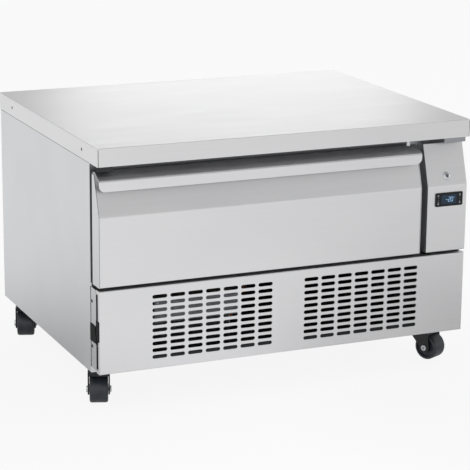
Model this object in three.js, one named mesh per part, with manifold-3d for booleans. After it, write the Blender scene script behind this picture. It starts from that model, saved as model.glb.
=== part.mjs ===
// Refrigerated chef base: a low worktop on casters with one insulated drawer,
// a control column at the right and a hinged, slotted panel over the machine compartment.
// Millimetres, +Z up, front towards -Y, origin on the floor below the middle of the worktop.

import * as THREE from 'three';
import { mergeVertices } from 'three/addons/utils/BufferGeometryUtils.js';
import Module from 'manifold-3d';

const wasm = await Module();
wasm.setup();

// Overall plan, and what all folded sheet shares
const overall = { width: 900, depth: 700 };
const seat = 0.3; // gap between pieces that rest against each other
const overrun = 5; // how far a cutting tool reaches past what it cuts
const sheet = 1.2; // thickness of the stainless sheet
const bendRadius = 2; // radius of a fold, at the middle of the sheet
const foldClear = 0.7; // what fills a folded sheet keeps this far from it
const endShare = 0.75; // how deep in its skin's thickness the edge of a closed end lies
const bendSteps = 2;
const roundSteps = 18; // facets round a turned piece
const smallSteps = 10; // facets round a thin rod, a bolt hole or a hub
const hexSides = 6;

// Heights of the front, stacked from the floor up to the worktop
const stack = { floorGap: 84, panelRise: 13, panel: 185, split: 7, face: 154, slope: 97, reveal: 15 };
const worktop = { apron: 40, sheet: 1.5, bend: 2, lip: 14 };
const apronScrew = { hole: 3.2, rise: 20, reach: 250 };
const sideBottom = stack.floorGap;
const panelBottom = sideBottom + stack.panelRise;
const panelTop = panelBottom + stack.panel;
const drawerBottom = panelTop + stack.split;
const foldHeight = drawerBottom + stack.face;
const moduleTop = foldHeight + stack.slope;
const apronBottom = moduleTop + stack.reveal;
const height = apronBottom + worktop.apron;

// Depths of the front: the modules stand in front of the carcass, just behind the apron's face
const modules = { inset: 2, depth: 55, slopeSetback: 30 };
const faceY = -overall.depth / 2 + modules.inset;
const carcassFront = faceY + modules.depth;
const sideInset = 2;
const sideX = overall.width / 2 - sideInset;
const backY = overall.depth / 2 - modules.inset;

// Widths of the front: the control column at the right, and the drawer beside it
const fascia = { width: 101, wall: 1.2 };
const drawer = { gap: 16, body: 40 };
const fasciaLeft = sideX - fascia.width;
const drawerRight = fasciaLeft - drawer.gap;

// Carcass: walls gives the thickness round the drawer compartment
const flange = 25; // front flange of a side panel
const foamDrop = 5.8;
const foamBottom = drawerBottom - foamDrop;
const walls = { left: 56, right: 19, bottom: 41, top: 32, back: 45 };
const cavity = {
  left: walls.left - sideX,
  right: drawerRight - walls.right,
  bottom: drawerBottom + walls.bottom,
  top: moduleTop - walls.top,
  back: backY - walls.back,
};
const liner = { sheet: 1, lip: 9 };
const frame = { sheet: 1.2 };
const controlPocket = { margin: 12, depth: 100 };
const tray = { rise: 3.5, sheet: 1.5, rim: 16 };
const trayBottom = sideBottom + tray.rise;
const vent = { inset: 88, rise: 51, length: 90, height: 8, spacing: 22, rows: 5, columns: 4, gap: 24 };

// Drawer
const lip = { drop: 40, breakDrop: 17, corner: 12, endDrop: 6 };
const gasket = { width: 13, inset: 5 };
const box = { rise: 7, headroom: 21, wall: 1.2, rim: 11, backGap: 10, rib: 4, ribs: 4 };

// Telescopic slide, measured inwards from the cavity's wall
const slide = {
  height: 46, wall: 1.5, bend: 1.2, rise: 52, play: 0.5, inset: 6, length: 480,
  outerDepth: 14, reach: 16.5, lip: 7, hook: 6, drawerWeb: 24,
};

// Evaporator behind the drawer
const evaporator = {
  space: 103, inset: 92, depth: 48, bottomGap: 12, topGap: 25.7,
  fins: 12, finSheet: 2, tube: 5, tubeRows: 2,
  fanRadius: 52, fanGap: 5, motorRadius: 18, motorLength: 24, stand: 25,
};
const evaporatorFront = cavity.back - evaporator.space;
const evaporatorX = (cavity.left + cavity.right) / 2;
const intake = { length: 60, height: 7, spacing: 22, rows: 4, outwards: 150 };

// Control column
const controller = {
  inward: 46, drop: 31, width: 71, height: 32, proud: 1.7, bodyWidth: 66, bodyHeight: 27, bodyDepth: 48,
  lensWidth: 40, lensHeight: 22, lensDepth: 1.2, corner: 2,
};
const controllerX = sideX - controller.inward;
const controllerZ = foldHeight - controller.drop;
const button = { radius: 2.2, length: 1.8, travel: 0.8, outwards: 28, upwards: 9.5 };
const lock = {
  inward: 49.5, rise: 23, collar: 9, collarProud: 2.4, shank: 6.5, shankLength: 24, plug: 4.2,
  keyWidth: 1.4, keyLength: 6, keyDepth: 1, camLength: 26, camWidth: 11, camThickness: 2,
};
const lockX = sideX - lock.inward;
const lockZ = foldHeight + lock.rise;

// Lower panel and its hinge, whose heights count from its foot
const panel = { returnDepth: 14.5, flangeDepth: 19, tab: 9, slit: 6.3 };
const slot = { gap: 7, height: 7.5, columns: 7, rows: 10, endSteps: 2 };
const slotField = { inner: 39, outer: 122, low: 24, high: 24.2 };
const fieldWidth = sideX - slotField.inner - slotField.outer;
const slotLength = (fieldWidth - slot.gap * (slot.columns - 1)) / slot.columns;
const slotSpacing = {
  x: slotLength + slot.gap,
  z: (stack.panel - slotField.low - slotField.high) / (slot.rows - 1),
};
const post = { inward: 30, screwBack: 9, screwHole: 2, screwRise: 51, screwDrop: 32 };
const hinge = {
  inset: 2.7, back: 17, knuckle: 4.4, pin: 2, leaf: 1.7, rise: 55, split: 29,
  fixedTop: 47, movingBottom: 16, top: 61, play: 0.3, room: 0.9,
};

// Machine compartment
const machineFloor = trayBottom + tray.sheet + seat;
const compressor = {
  inward: 186, backward: 198, radius: 76, raised: 6, headroom: 19.9, shoulder: 14, seam: 4, dome: 46,
  foot: 90, footSheet: 3, footRise: 14, grommet: 9, stub: 6.5, stubHeight: 112, stubReach: 16,
  terminalWidth: 44, terminalHeight: 40, terminalDepth: 16,
};
const potShares = { seam: 0.548, dome: 0.67, crown: 0.92 }; // of the pot's height and its dome's
const compressorX = sideX - compressor.inward;
const compressorY = backY - compressor.backward;
const condenser = {
  inset: 113, width: 250, setback: 133, depth: 44, headroom: 43.9, raised: 8, fins: 18, finSheet: 2,
  tube: 4.5, tubeRows: 3,
};
const condenserLeft = condenser.inset - sideX;
const condenserRight = condenserLeft + condenser.width;
const condenserFront = faceY + condenser.setback;
const shroud = { depth: 38, sheet: 1.5, fanRadius: 66, fanGap: 6 };
const motor = { radius: 27, length: 40, stand: 6, shaft: 3, shaftLength: 16 };
const bracket = { width: 3, sheet: 3, footGap: 3, foot: 9 };
const legTurns = [-25, 25, 155, 205]; // degrees
const blades = { count: 5, hub: 15, turn: 32, sheet: 2, width: 34, gap: 3 };
const pipe = { radius: 4.5, sides: 8, bend: 22, drier: 11, drierLength: 70, run: 55, inset: 10 };
const electrics = { inset: 45, ahead: 53, depth: 44, drop: 57.2, height: 54, tab: 22, sheet: 2 };
const drip = { gap: 42, width: 190, depth: 190, backGap: 28, height: 36, wall: 2.5, draft: 6 };
const inlet = {
  inward: 148, rise: 66, width: 48, height: 28, depth: 34, flangeWidth: 58, flangeHeight: 38,
  proud: 1.6, recess: 22, rim: 4, pin: 2, pinWidth: 4, pinSpacing: 14,
};
const inletX = sideX - inlet.inward;
const inletZ = sideBottom + inlet.rise;

// Casters
const caster = {
  inward: 39, fromFront: 116, fromBack: 48, plate: 64, plateSheet: 3, corner: 8, trail: 25,
  bolt: 5.5, boltHead: 3.5, boltReach: 25,
};
const race = { radius: 23, neck: 19, height: 12, lip: 4 };
const king = { radius: 5, nut: 9, nutHeight: 4.5 };
const fork = { sheet: 3.2, crown: 4, back: 22, front: 34, legWidth: 13 };
const wheel = { radius: 30, width: 36, shoulder: 5, hub: 12, hubProud: 1.9, dish: 6, rim: 22 };
const axle = { radius: 4, headAcross: 7.5, head: 4 };
const swivelTurns = { front_left: -110, front_right: -64, back_left: -110, back_right: -64 };

// Shares of a fan's hub radius, blade width and blade spread
const bladeShares = { dome: 0.7, root: 0.3, trailing: 0.8 };

// Finishes
function finish(color, roughness, metalness) {
  return { color, roughness, metalness };
}
const finishes = {
  stainless: finish('#cfcfd2', 0.35, 0.9),
  dullSteel: finish('#a9abae', 0.5, 0.9),
  galvanised: finish('#b4b8bb', 0.45, 0.8),
  foam: finish('#d9cf9f', 0.9, 0),
  rubber: finish('#17181a', 0.8, 0),
  blackPlastic: finish('#1a1b1d', 0.5, 0),
  displayBlue: finish('#16283c', 0.15, 0),
  buttonGrey: finish('#8d9296', 0.5, 0),
  chrome: finish('#d5d8da', 0.12, 1),
  aluminium: finish('#c2c5c7', 0.4, 0.9),
  blackPaint: finish('#202224', 0.45, 0.1),
  copper: finish('#b9744a', 0.3, 1),
  wheelPlastic: finish('#353a42', 0.55, 0),
  zinc: finish('#bfc4c8', 0.3, 1),
};

// Shapes and solids
function toSolid(geometry) {
  const plain = geometry.clone();
  plain.deleteAttribute('normal');
  plain.deleteAttribute('uv');
  const welded = mergeVertices(plain);
  const vertProperties = new Float32Array(welded.attributes.position.array);
  const triVerts = new Uint32Array(welded.index.array);
  return new wasm.Manifold(new wasm.Mesh({ numProp: 3, vertProperties, triVerts }));
}

function toGeometry(solid) {
  const mesh = solid.getMesh();
  const geometry = new THREE.BufferGeometry();
  const position = new THREE.BufferAttribute(new Float32Array(mesh.vertProperties), 3);
  geometry.setAttribute('position', position);
  geometry.setIndex(new THREE.BufferAttribute(new Uint32Array(mesh.triVerts), 1));
  return geometry;
}

function join(first, ...others) {
  return others.reduce((sum, other) => sum.add(other), first);
}

function cut(first, ...tools) {
  return tools.reduce((left, tool) => left.subtract(tool), first);
}

// A block from its lowest to its highest corner
function block(low, high) {
  const size = high.map((value, i) => value - low[i]);
  const middle = high.map((value, i) => (value + low[i]) / 2);
  return toSolid(new THREE.BoxGeometry(...size).translate(...middle));
}

// An outline pushed along an axis: (y, z) along x, (x, z) along y or (x, y) along z
function prism(shape, axis, from, to, curveSegments = 1) {
  const depth = to - from;
  const geometry = new THREE.ExtrudeGeometry(shape, { depth, bevelEnabled: false, curveSegments });
  const turn = new THREE.Matrix4();
  if (axis === 'x') turn.set(0, 0, 1, from, 1, 0, 0, 0, 0, 1, 0, 0, 0, 0, 0, 1);
  if (axis === 'y') turn.set(1, 0, 0, 0, 0, 0, -1, to, 0, 1, 0, 0, 0, 0, 0, 1);
  if (axis === 'z') turn.set(1, 0, 0, 0, 0, 1, 0, 0, 0, 0, 1, from, 0, 0, 0, 1);
  return toSolid(geometry.applyMatrix4(turn));
}

// A profile of (radius, height) points turned about the z axis, listed from the bottom up
function turned(profile, steps = roundSteps) {
  const points = profile.map(([radius, height]) => new THREE.Vector2(radius, height));
  return toSolid(new THREE.LatheGeometry(points, steps).rotateX(Math.PI / 2));
}

function rod(radius, low, high, steps = roundSteps) {
  return turned([[0, low], [radius, low], [radius, high], [0, high]], steps);
}

function placed(solid, { turn = [0, 0, 0], at = [0, 0, 0] }) {
  return solid.rotate(turn).translate(at);
}

function outline(points) {
  return new THREE.Shape(points.map(([x, y]) => new THREE.Vector2(x, y)));
}

function roundedRectangle(left, bottom, right, top, radius) {
  const shape = new THREE.Shape();
  shape.moveTo(left + radius, bottom);
  shape.absarc(right - radius, bottom + radius, radius, -Math.PI / 2, 0);
  shape.absarc(right - radius, top - radius, radius, 0, Math.PI / 2);
  shape.absarc(left + radius, top - radius, radius, Math.PI / 2, Math.PI);
  shape.absarc(left + radius, bottom + radius, radius, Math.PI, Math.PI * 1.5);
  return shape;
}

// The middle line of a folded sheet, with each fold rounded
function roundedLine(corners, radius) {
  const line = corners.map(([x, y]) => new THREE.Vector2(x, y));
  const points = [line[0]];
  for (let i = 1; i < line.length - 1; i += 1) {
    const into = line[i].clone().sub(line[i - 1]).normalize();
    const out = line[i + 1].clone().sub(line[i]).normalize();
    const turn = Math.atan2(into.cross(out), into.dot(out));
    const start = line[i].clone().addScaledVector(into, -radius * Math.tan(Math.abs(turn) / 2));
    const side = new THREE.Vector2(-into.y, into.x).multiplyScalar(Math.sign(turn) * radius);
    const centre = start.clone().add(side);
    for (let step = 0; step <= bendSteps; step += 1) {
      points.push(start.clone().rotateAround(centre, (turn * step) / bendSteps));
    }
  }
  points.push(line[line.length - 1]);
  return points;
}

// The section of a folded sheet of one thickness about its middle line
function foldedSheet(corners, thickness = sheet, radius = bendRadius) {
  const line = roundedLine(corners, radius);
  const near = [];
  const far = [];
  line.forEach((point, i) => {
    const before = line[Math.max(i - 1, 0)];
    const after = line[Math.min(i + 1, line.length - 1)];
    const into = (i > 0 ? point.clone().sub(before) : after.clone().sub(point)).normalize();
    const out = (i < line.length - 1 ? after.clone().sub(point) : into.clone()).normalize();
    const along = into.clone().add(out).normalize();
    const reach = thickness / 2 / along.dot(into);
    const side = new THREE.Vector2(-along.y, along.x).multiplyScalar(reach);
    near.push(point.clone().add(side));
    far.unshift(point.clone().sub(side));
  });
  return new THREE.Shape([...near, ...far]);
}

const chefBase = new THREE.Group();

function piece(name, solid, look) {
  const mesh = new THREE.Mesh(toGeometry(solid), new THREE.MeshStandardMaterial(look));
  mesh.name = name;
  chefBase.add(mesh);
  return mesh;
}

// Worktop: one sheet folded down all round, with the front apron turned in at its lower edge
function makeWorktop() {
  const halfX = overall.width / 2;
  const halfY = overall.depth / 2;
  const slab = new THREE.ExtrudeGeometry(
    outline([
      [-halfX + worktop.bend, -halfY + worktop.bend],
      [halfX - worktop.bend, -halfY + worktop.bend],
      [halfX - worktop.bend, halfY - worktop.bend],
      [-halfX + worktop.bend, halfY - worktop.bend],
    ]),
    {
      depth: worktop.apron,
      bevelSize: worktop.bend,
      bevelThickness: worktop.bend,
      bevelSegments: bendSteps,
    },
  ).translate(0, 0, apronBottom - worktop.bend);
  const below = block(
    [-halfX - overrun, -halfY - overrun, apronBottom - worktop.bend - overrun],
    [halfX + overrun, halfY + overrun, apronBottom],
  );
  const inside = block(
    [-halfX + worktop.sheet, -halfY + worktop.sheet, apronBottom - overrun],
    [halfX - worktop.sheet, halfY - worktop.sheet, height - worktop.sheet],
  );
  const turnedIn = block(
    [-halfX + worktop.sheet / 2, -halfY + worktop.sheet / 2, apronBottom],
    [halfX - worktop.sheet / 2, -halfY + worktop.lip, apronBottom + worktop.sheet],
  );
  let shell = join(cut(toSolid(slab), below, inside), turnedIn);
  for (const y of [-apronScrew.reach, apronScrew.reach]) {
    for (const side of [-1, 1]) {
      const hole = rod(apronScrew.hole, -overrun, overrun, smallSteps);
      const at = [side * halfX, y, height - apronScrew.rise];
      shell = cut(shell, placed(hole, { turn: [0, 90, 0], at }));
    }
  }
  piece('worktop', shell, finishes.stainless);
}

// Side panels: a flat sheet with a flange turned in along the front edge
const sideTop = height - worktop.sheet - seat;

function makeSidePanels() {
  const middle = sideX - sheet / 2;
  for (const [name, side] of [['left', -1], ['right', 1]]) {
    const section = foldedSheet([
      [side * (sideX - flange), carcassFront + sheet / 2],
      [side * middle, carcassFront + sheet / 2],
      [side * middle, backY - sheet - seat],
    ]);
    piece(`side_panel_${name}`, prism(section, 'z', sideBottom, sideTop), finishes.stainless);
  }
}

// Back panel with two fields of vents over the machine compartment
const insideX = sideX - sheet - foldClear;

function makeBackPanel() {
  const face = outline([
    [-sideX, sideBottom], [sideX, sideBottom], [sideX, sideTop], [-sideX, sideTop],
  ]);
  for (let row = 0; row < vent.rows; row += 1) {
    for (let column = 0; column < vent.columns; column += 1) {
      const left = vent.inset - sideX + column * (vent.length + vent.gap);
      face.holes.push(slotHole(left, sideBottom + vent.rise + row * vent.spacing, vent.length, vent.height));
    }
  }
  const inletHole = block(
    [inletX - inlet.width / 2 - seat, backY - sheet - overrun, inletZ - inlet.height / 2 - seat],
    [inletX + inlet.width / 2 + seat, backY + overrun, inletZ + inlet.height / 2 + seat],
  );
  piece('back_panel', cut(prism(face, 'y', backY - sheet, backY), inletHole), finishes.stainless);
}

// Insulation round the drawer compartment, with a pocket behind the control column
function makeInsulation() {
  const front = carcassFront + sheet + foldClear;
  const bodyOfFoam = block(
    [-insideX, front, foamBottom],
    [insideX, backY - sheet - seat, sideTop],
  );
  const clear = liner.sheet + seat;
  const hollow = block(
    [cavity.left - clear, front - overrun, cavity.bottom - clear],
    [cavity.right + clear, cavity.back + clear, cavity.top + clear],
  );
  const rebate = block(
    [cavity.left - liner.lip - clear, front - overrun, cavity.bottom - liner.lip - clear],
    [cavity.right + liner.lip + clear, front + liner.sheet, cavity.top + liner.lip + clear],
  );
  const pocket = block(
    [fasciaLeft + controlPocket.margin, front - overrun, drawerBottom + controlPocket.margin],
    [sideX - flange, front + controlPocket.depth, moduleTop - controlPocket.margin],
  );
  piece('insulation_foam', cut(bodyOfFoam, hollow, rebate, pocket), finishes.foam);
}

// Liner: an open box of thin sheet with a narrow lip round its mouth
function makeLiner() {
  const mouth = carcassFront + sheet;
  const outer = block(
    [cavity.left - liner.sheet, mouth, cavity.bottom - liner.sheet],
    [cavity.right + liner.sheet, cavity.back + liner.sheet, cavity.top + liner.sheet],
  );
  const lipPlate = block(
    [cavity.left - liner.lip, mouth, cavity.bottom - liner.lip],
    [cavity.right + liner.lip, mouth + liner.sheet, cavity.top + liner.lip],
  );
  const hollow = block(
    [cavity.left, mouth - overrun, cavity.bottom],
    [cavity.right, cavity.back, cavity.top],
  );
  piece('inner_liner', cut(join(outer, lipPlate), hollow), finishes.stainless);
}

// Frame on the carcass front, round the drawer's mouth and the control pocket
function makeFrontFrame() {
  const back = carcassFront - seat;
  const plate = block(
    [-sideX, back - frame.sheet, drawerBottom],
    [sideX, back, apronBottom - seat],
  );
  const mouth = block(
    [cavity.left, back - overrun, cavity.bottom],
    [cavity.right, back + overrun, cavity.top],
  );
  const pocket = block(
    [fasciaLeft + controlPocket.margin, back - overrun, drawerBottom + controlPocket.margin],
    [sideX - flange, back + overrun, moduleTop - controlPocket.margin],
  );
  piece('front_frame', cut(plate, mouth, pocket), finishes.stainless);
}

// The face of a front module: upright up to the fold, then leaning back
const slopeAngle = Math.atan2(modules.slopeSetback, stack.slope);

// The line of a front module at an inset from its outside, from its back lower edge up to its top
function moduleLine(backEdge, top, inset) {
  const rise = top - inset - foldHeight;
  return [
    [backEdge, drawerBottom + inset],
    [faceY + inset, drawerBottom + inset],
    [faceY + inset, foldHeight - inset * Math.tan(slopeAngle / 2)],
    [faceY + rise * Math.tan(slopeAngle) + inset / Math.cos(slopeAngle), top - inset],
  ];
}

// The closed end of a front module, with its edges inside the thickness of the folded skin
function moduleEnd(backEdge, top, wall, from, to) {
  const inset = wall * endShare;
  const line = moduleLine(backEdge, top, inset);
  return prism(outline([...line, [backEdge, top - inset]]), 'x', from, to);
}

// Control column: a folded skin with closed ends, open towards the carcass
const frameFront = carcassFront - seat - frame.sheet;

function makeFascia() {
  const back = frameFront - seat;
  const half = fascia.wall / 2;
  const line = moduleLine(back, moduleTop, half);
  line.push([back, moduleTop - half]);
  const skin = prism(foldedSheet(line, fascia.wall), 'x', fasciaLeft, sideX);
  const leftEnd = moduleEnd(back, moduleTop, fascia.wall, fasciaLeft, fasciaLeft + fascia.wall);
  const rightEnd = moduleEnd(back, moduleTop, fascia.wall, sideX - fascia.wall, sideX);
  const windowX = controller.bodyWidth / 2 + seat;
  const windowZ = controller.bodyHeight / 2 + seat;
  const window = block(
    [controllerX - windowX, faceY - overrun, controllerZ - windowZ],
    [controllerX + windowX, faceY + overrun, controllerZ + windowZ],
  );
  const lockHole = onSlope(rod(lock.shank + seat, -lock.shankLength, lock.collarProud));
  piece('control_fascia', cut(join(skin, leftEnd, rightEnd), window, lockHole), finishes.stainless);
}

// Turns a solid that points up its own z axis so that it stands out of the sloped face at the lock
const lockY = faceY + (lockZ - foldHeight) * Math.tan(slopeAngle);

function onSlope(solid) {
  const turn = [90 - THREE.MathUtils.radToDeg(slopeAngle), 0, 0];
  return placed(solid, { turn, at: [lockX, lockY, lockZ] });
}

// Controller: a slim bezel in front of a housing that reaches through the column's skin
function makeController() {
  const front = faceY - seat - controller.proud;
  const rect = (width, tall, near, far) => block(
    [controllerX - width / 2, near, controllerZ - tall / 2],
    [controllerX + width / 2, far, controllerZ + tall / 2],
  );
  const bezel = prism(
    roundedRectangle(
      controllerX - controller.width / 2, controllerZ - controller.height / 2,
      controllerX + controller.width / 2, controllerZ + controller.height / 2, controller.corner,
    ), 'y', front, faceY - seat,
  );
  const { bodyWidth, bodyHeight, bodyDepth, lensWidth, lensHeight, lensDepth } = controller;
  const body = rect(bodyWidth, bodyHeight, faceY - seat - controller.proud / 2, faceY + bodyDepth);
  const play = seat * 2;
  const recess = rect(lensWidth + play, lensHeight + play, front - overrun, front + lensDepth + seat);
  const turn = [90, 0, 0];
  const wells = buttonPlaces().map(([, x, z]) => {
    const depth = button.length + button.travel + seat;
    return placed(rod(button.radius + seat, -depth, overrun, smallSteps), { turn, at: [x, front, z] });
  });
  piece('controller_housing', cut(join(bezel, body), recess, ...wells), finishes.blackPlastic);
  piece('display_lens', rect(lensWidth, lensHeight, front, front + lensDepth), finishes.displayBlue);
  for (const [name, x, z] of buttonPlaces()) {
    const cap = placed(rod(button.radius, -button.length, 0, smallSteps), { turn, at: [x, front, z] });
    piece(`controller_button_${name}`, cap, finishes.buttonGrey);
  }
}

function buttonPlaces() {
  const corners = [['upper_left', -1, 1], ['lower_left', -1, -1], ['upper_right', 1, 1], ['lower_right', 1, -1]];
  return corners.map(([name, across, up]) => (
    [name, controllerX + across * button.outwards, controllerZ + up * button.upwards]
  ));
}

// Lock: a collared body in the sloped face, and a plug with its key slot and cam
function makeLock() {
  const under = seat + fascia.wall;
  const body = turned([
    [lock.plug + seat, -lock.shankLength],
    [lock.shank, -lock.shankLength],
    [lock.shank, seat],
    [lock.collar, seat],
    [lock.collar - lock.keyDepth, lock.collarProud],
    [lock.plug + seat, lock.collarProud],
    [lock.plug + seat, -lock.shankLength],
  ]);
  piece('lock_body', onSlope(body), finishes.chrome);
  const back = -lock.shankLength - seat;
  const plug = rod(lock.plug, back - lock.camThickness, lock.collarProud);
  const key = block(
    [-lock.keyWidth / 2, -lock.keyLength / 2, lock.collarProud - lock.keyDepth],
    [lock.keyWidth / 2, lock.keyLength / 2, lock.collarProud + overrun],
  );
  const cam = block(
    [-lock.camWidth / 2, -lock.camWidth / 2, back - lock.camThickness - under],
    [lock.camWidth / 2, lock.camLength, back],
  );
  piece('lock_plug', onSlope(cut(join(plug, cam), key)), finishes.chrome);
}

// Lower panel: a slotted sheet with returns at both sides and flanges at top and bottom
const panelBack = faceY + panel.returnDepth;
const postFront = panelBack + panel.slit;
const pinX = -sideX + hinge.inset;
const pinY = faceY + hinge.back;
const hingeFoot = panelBottom + hinge.rise;
const hingeSplit = hingeFoot + hinge.split;
const hingeTop = hingeFoot + hinge.top;

// The outline of a slot with round ends
function slotPoints(left, middle, length, height) {
  const radius = height / 2;
  const points = [];
  for (const [centre, start] of [[left + length - radius, -Math.PI / 2], [left + radius, Math.PI / 2]]) {
    for (let step = 0; step <= slot.endSteps; step += 1) {
      const angle = start + (Math.PI * step) / slot.endSteps;
      points.push([centre + radius * Math.cos(angle), middle + radius * Math.sin(angle)]);
    }
  }
  return points;
}

function slotHole(...measures) {
  return new THREE.Path(slotPoints(...measures).map(([x, y]) => new THREE.Vector2(x, y)));
}

// The room that the hinge's knuckle needs in the panel's return and in the post
function knuckleRoom() {
  const reach = hinge.knuckle + hinge.room;
  return block(
    [-sideX - overrun, pinY - reach, hingeFoot - hinge.play],
    [pinX + reach, pinY + reach, hingeTop + hinge.play],
  );
}

function makeGrillePanel() {
  const half = sheet / 2;
  const flangeBack = faceY + panel.flangeDepth;
  const bent = (back, low, high) => prism(foldedSheet([
    [half - sideX, back], [half - sideX, faceY + half], [sideX - half, faceY + half], [sideX - half, back],
  ]), 'z', low, high);
  const buried = sheet * endShare;
  const flanges = [panelBottom, panelTop - sheet].map((level) => (
    block([buried - sideX, faceY + buried, level], [sideX - buried, flangeBack, level + sheet])
  ));
  const shell = join(
    bent(panelBack, panelBottom, panelTop),
    bent(flangeBack, panelBottom, panelBottom + panel.tab),
    bent(flangeBack, panelTop - panel.tab, panelTop),
    ...flanges,
  );
  const slots = [];
  for (const fieldLeft of [-slotField.inner - fieldWidth, slotField.inner]) {
    for (let row = 0; row < slot.rows; row += 1) {
      for (let column = 0; column < slot.columns; column += 1) {
        const left = fieldLeft + column * slotSpacing.x;
        const middle = panelBottom + slotField.low + row * slotSpacing.z;
        const shape = outline(slotPoints(left, middle, slotLength, slot.height));
        slots.push(prism(shape, 'y', faceY - overrun, faceY + overrun));
      }
    }
  }
  piece('grille_panel', cut(shell, wasm.Manifold.union(slots), knuckleRoom()), finishes.stainless);
}

// Corner posts: folded sheet behind the panel's returns, screwed to the carcass
function makeCornerPosts() {
  const half = sheet / 2;
  for (const [name, side] of [['left', -1], ['right', 1]]) {
    const section = foldedSheet([
      [side * (sideX - half), postFront],
      [side * (sideX - half), carcassFront - seat - half],
      [side * (sideX - post.inward), carcassFront - seat - half],
    ]);
    let solid = prism(section, 'z', panelBottom + sheet + seat, panelTop - sheet - seat);
    for (const z of [panelBottom + post.screwRise, panelTop - post.screwDrop]) {
      const at = [side * sideX, carcassFront - post.screwBack, z];
      solid = cut(solid, placed(rod(post.screwHole, -overrun, overrun), { turn: [0, 90, 0], at }));
    }
    if (side < 0) solid = cut(solid, knuckleRoom());
    piece(`corner_post_${name}`, solid, finishes.stainless);
  }
}

// Hinge: two moulded leaves, stepped in height; the fixed one carries the pin
function makeHinge() {
  const outer = -sideX - seat;
  const knuckle = (low, high) => rod(hinge.knuckle, low, high, smallSteps).translate(pinX, pinY, 0);
  const leafX = outer - hinge.leaf;
  const back = carcassFront - seat;
  const fixed = join(
    knuckle(hingeFoot, hingeSplit),
    block([leafX, pinY - hinge.play, hingeFoot], [outer, back, hingeSplit]),
    block([leafX, pinY + hinge.knuckle + hinge.room, hingeFoot], [outer, back, hingeFoot + hinge.fixedTop]),
    block([outer - hinge.play, pinY + hinge.play, hingeFoot],
      [pinX - hinge.play, pinY + hinge.knuckle, hingeSplit]),
    rod(hinge.pin, hingeFoot + hinge.knuckle, hingeTop, smallSteps).translate(pinX, pinY, 0),
  );
  const plateEnd = pinY - hinge.knuckle - hinge.room;
  const moving = join(
    block([leafX, faceY + sheet, hingeFoot + hinge.movingBottom], [outer, plateEnd, hingeTop]),
    block([leafX, plateEnd, hingeSplit + hinge.play], [outer, pinY + hinge.play, hingeTop]),
    knuckle(hingeSplit + hinge.play, hingeTop),
  );
  const bore = rod(hinge.pin + hinge.play, hingeSplit - overrun, hingeTop + overrun, smallSteps)
    .translate(pinX, pinY, 0);
  piece('hinge_fixed_leaf', fixed, finishes.blackPlastic);
  piece('hinge_moving_leaf', cut(moving, bore), finishes.blackPlastic);
}

// Drawer: skin with its handle lip, foam core, seal and box
const drawerBack = faceY + drawer.body;
const lipBottom = moduleTop - lip.drop;

function makeDrawerFront() {
  const half = sheet / 2;
  const line = moduleLine(drawerBack, moduleTop, half);
  line.push([faceY + half, moduleTop - lip.breakDrop], [faceY + half, lipBottom]);
  const skin = prism(foldedSheet(line), 'x', -sideX, drawerRight);
  const endTop = moduleTop - lip.endDrop;
  const leftEnd = moduleEnd(drawerBack, endTop, sheet, -sideX, -sideX + sheet);
  const rightEnd = moduleEnd(drawerBack, endTop, sheet, drawerRight - sheet, drawerRight);
  const corners = [[-sideX, 1], [drawerRight, -1]].map(([x, inward]) => {
    const centreX = x + inward * lip.corner;
    const low = Math.min(x - inward * overrun, centreX);
    const high = Math.max(x - inward * overrun, centreX);
    const square = block(
      [low, faceY - overrun, lipBottom - overrun],
      [high, faceY + sheet + seat, lipBottom + lip.corner],
    );
    const round = placed(rod(lip.corner, -overrun * 2, overrun * 2),
      { turn: [90, 0, 0], at: [centreX, faceY, lipBottom + lip.corner] });
    return cut(square, round);
  });
  piece('drawer_front', cut(join(skin, leftEnd, rightEnd), ...corners), finishes.stainless);
}

function makeDrawerCore() {
  const inset = sheet + foldClear;
  const section = outline([
    ...moduleLine(drawerBack, moduleTop, inset),
    [drawerBack, moduleTop - inset],
  ]);
  const core = prism(section, 'x', -sideX + inset, drawerRight - inset);
  piece('drawer_core', core, finishes.dullSteel);
}

function makeGasket() {
  const low = [-sideX + gasket.inset, drawerBack + seat, drawerBottom + gasket.inset];
  const high = [drawerRight - gasket.inset, frameFront - seat, moduleTop - gasket.inset];
  const ring = block(low, high);
  const hollow = block(
    [low[0] + gasket.width, low[1] - overrun, low[2] + gasket.width],
    [high[0] - gasket.width, high[1] + overrun, high[2] - gasket.width],
  );
  piece('drawer_gasket', cut(ring, hollow), finishes.rubber);
}

const boxBottom = cavity.bottom + box.rise;
const boxBack = evaporatorFront - box.backGap;
const boxLeft = cavity.left + slide.reach + seat;
const boxRight = cavity.right - slide.reach - seat;

function makeDrawerBox() {
  const front = drawerBack + seat;
  const top = cavity.top - box.headroom;
  const outer = block([boxLeft, front, boxBottom], [boxRight, boxBack, top]);
  const rim = block([boxLeft - box.rim, front, top - box.wall], [boxRight + box.rim, boxBack, top]);
  const hollow = block(
    [boxLeft + box.wall, front + box.wall, boxBottom + box.wall],
    [boxRight - box.wall, boxBack - box.wall, top + overrun],
  );
  let solid = cut(join(outer, rim), hollow);
  const spacing = (boxBack - front) / (box.ribs + 1);
  for (let rib = 1; rib <= box.ribs; rib += 1) {
    const y = front + rib * spacing;
    const bar = block(
      [boxLeft + box.wall / 2, y - box.rib, boxBottom + box.wall / 2],
      [boxRight - box.wall / 2, y + box.rib, boxBottom + box.wall + box.rib / 2],
    );
    solid = join(solid, bar);
  }
  piece('drawer_box', solid, finishes.stainless);
}

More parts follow.
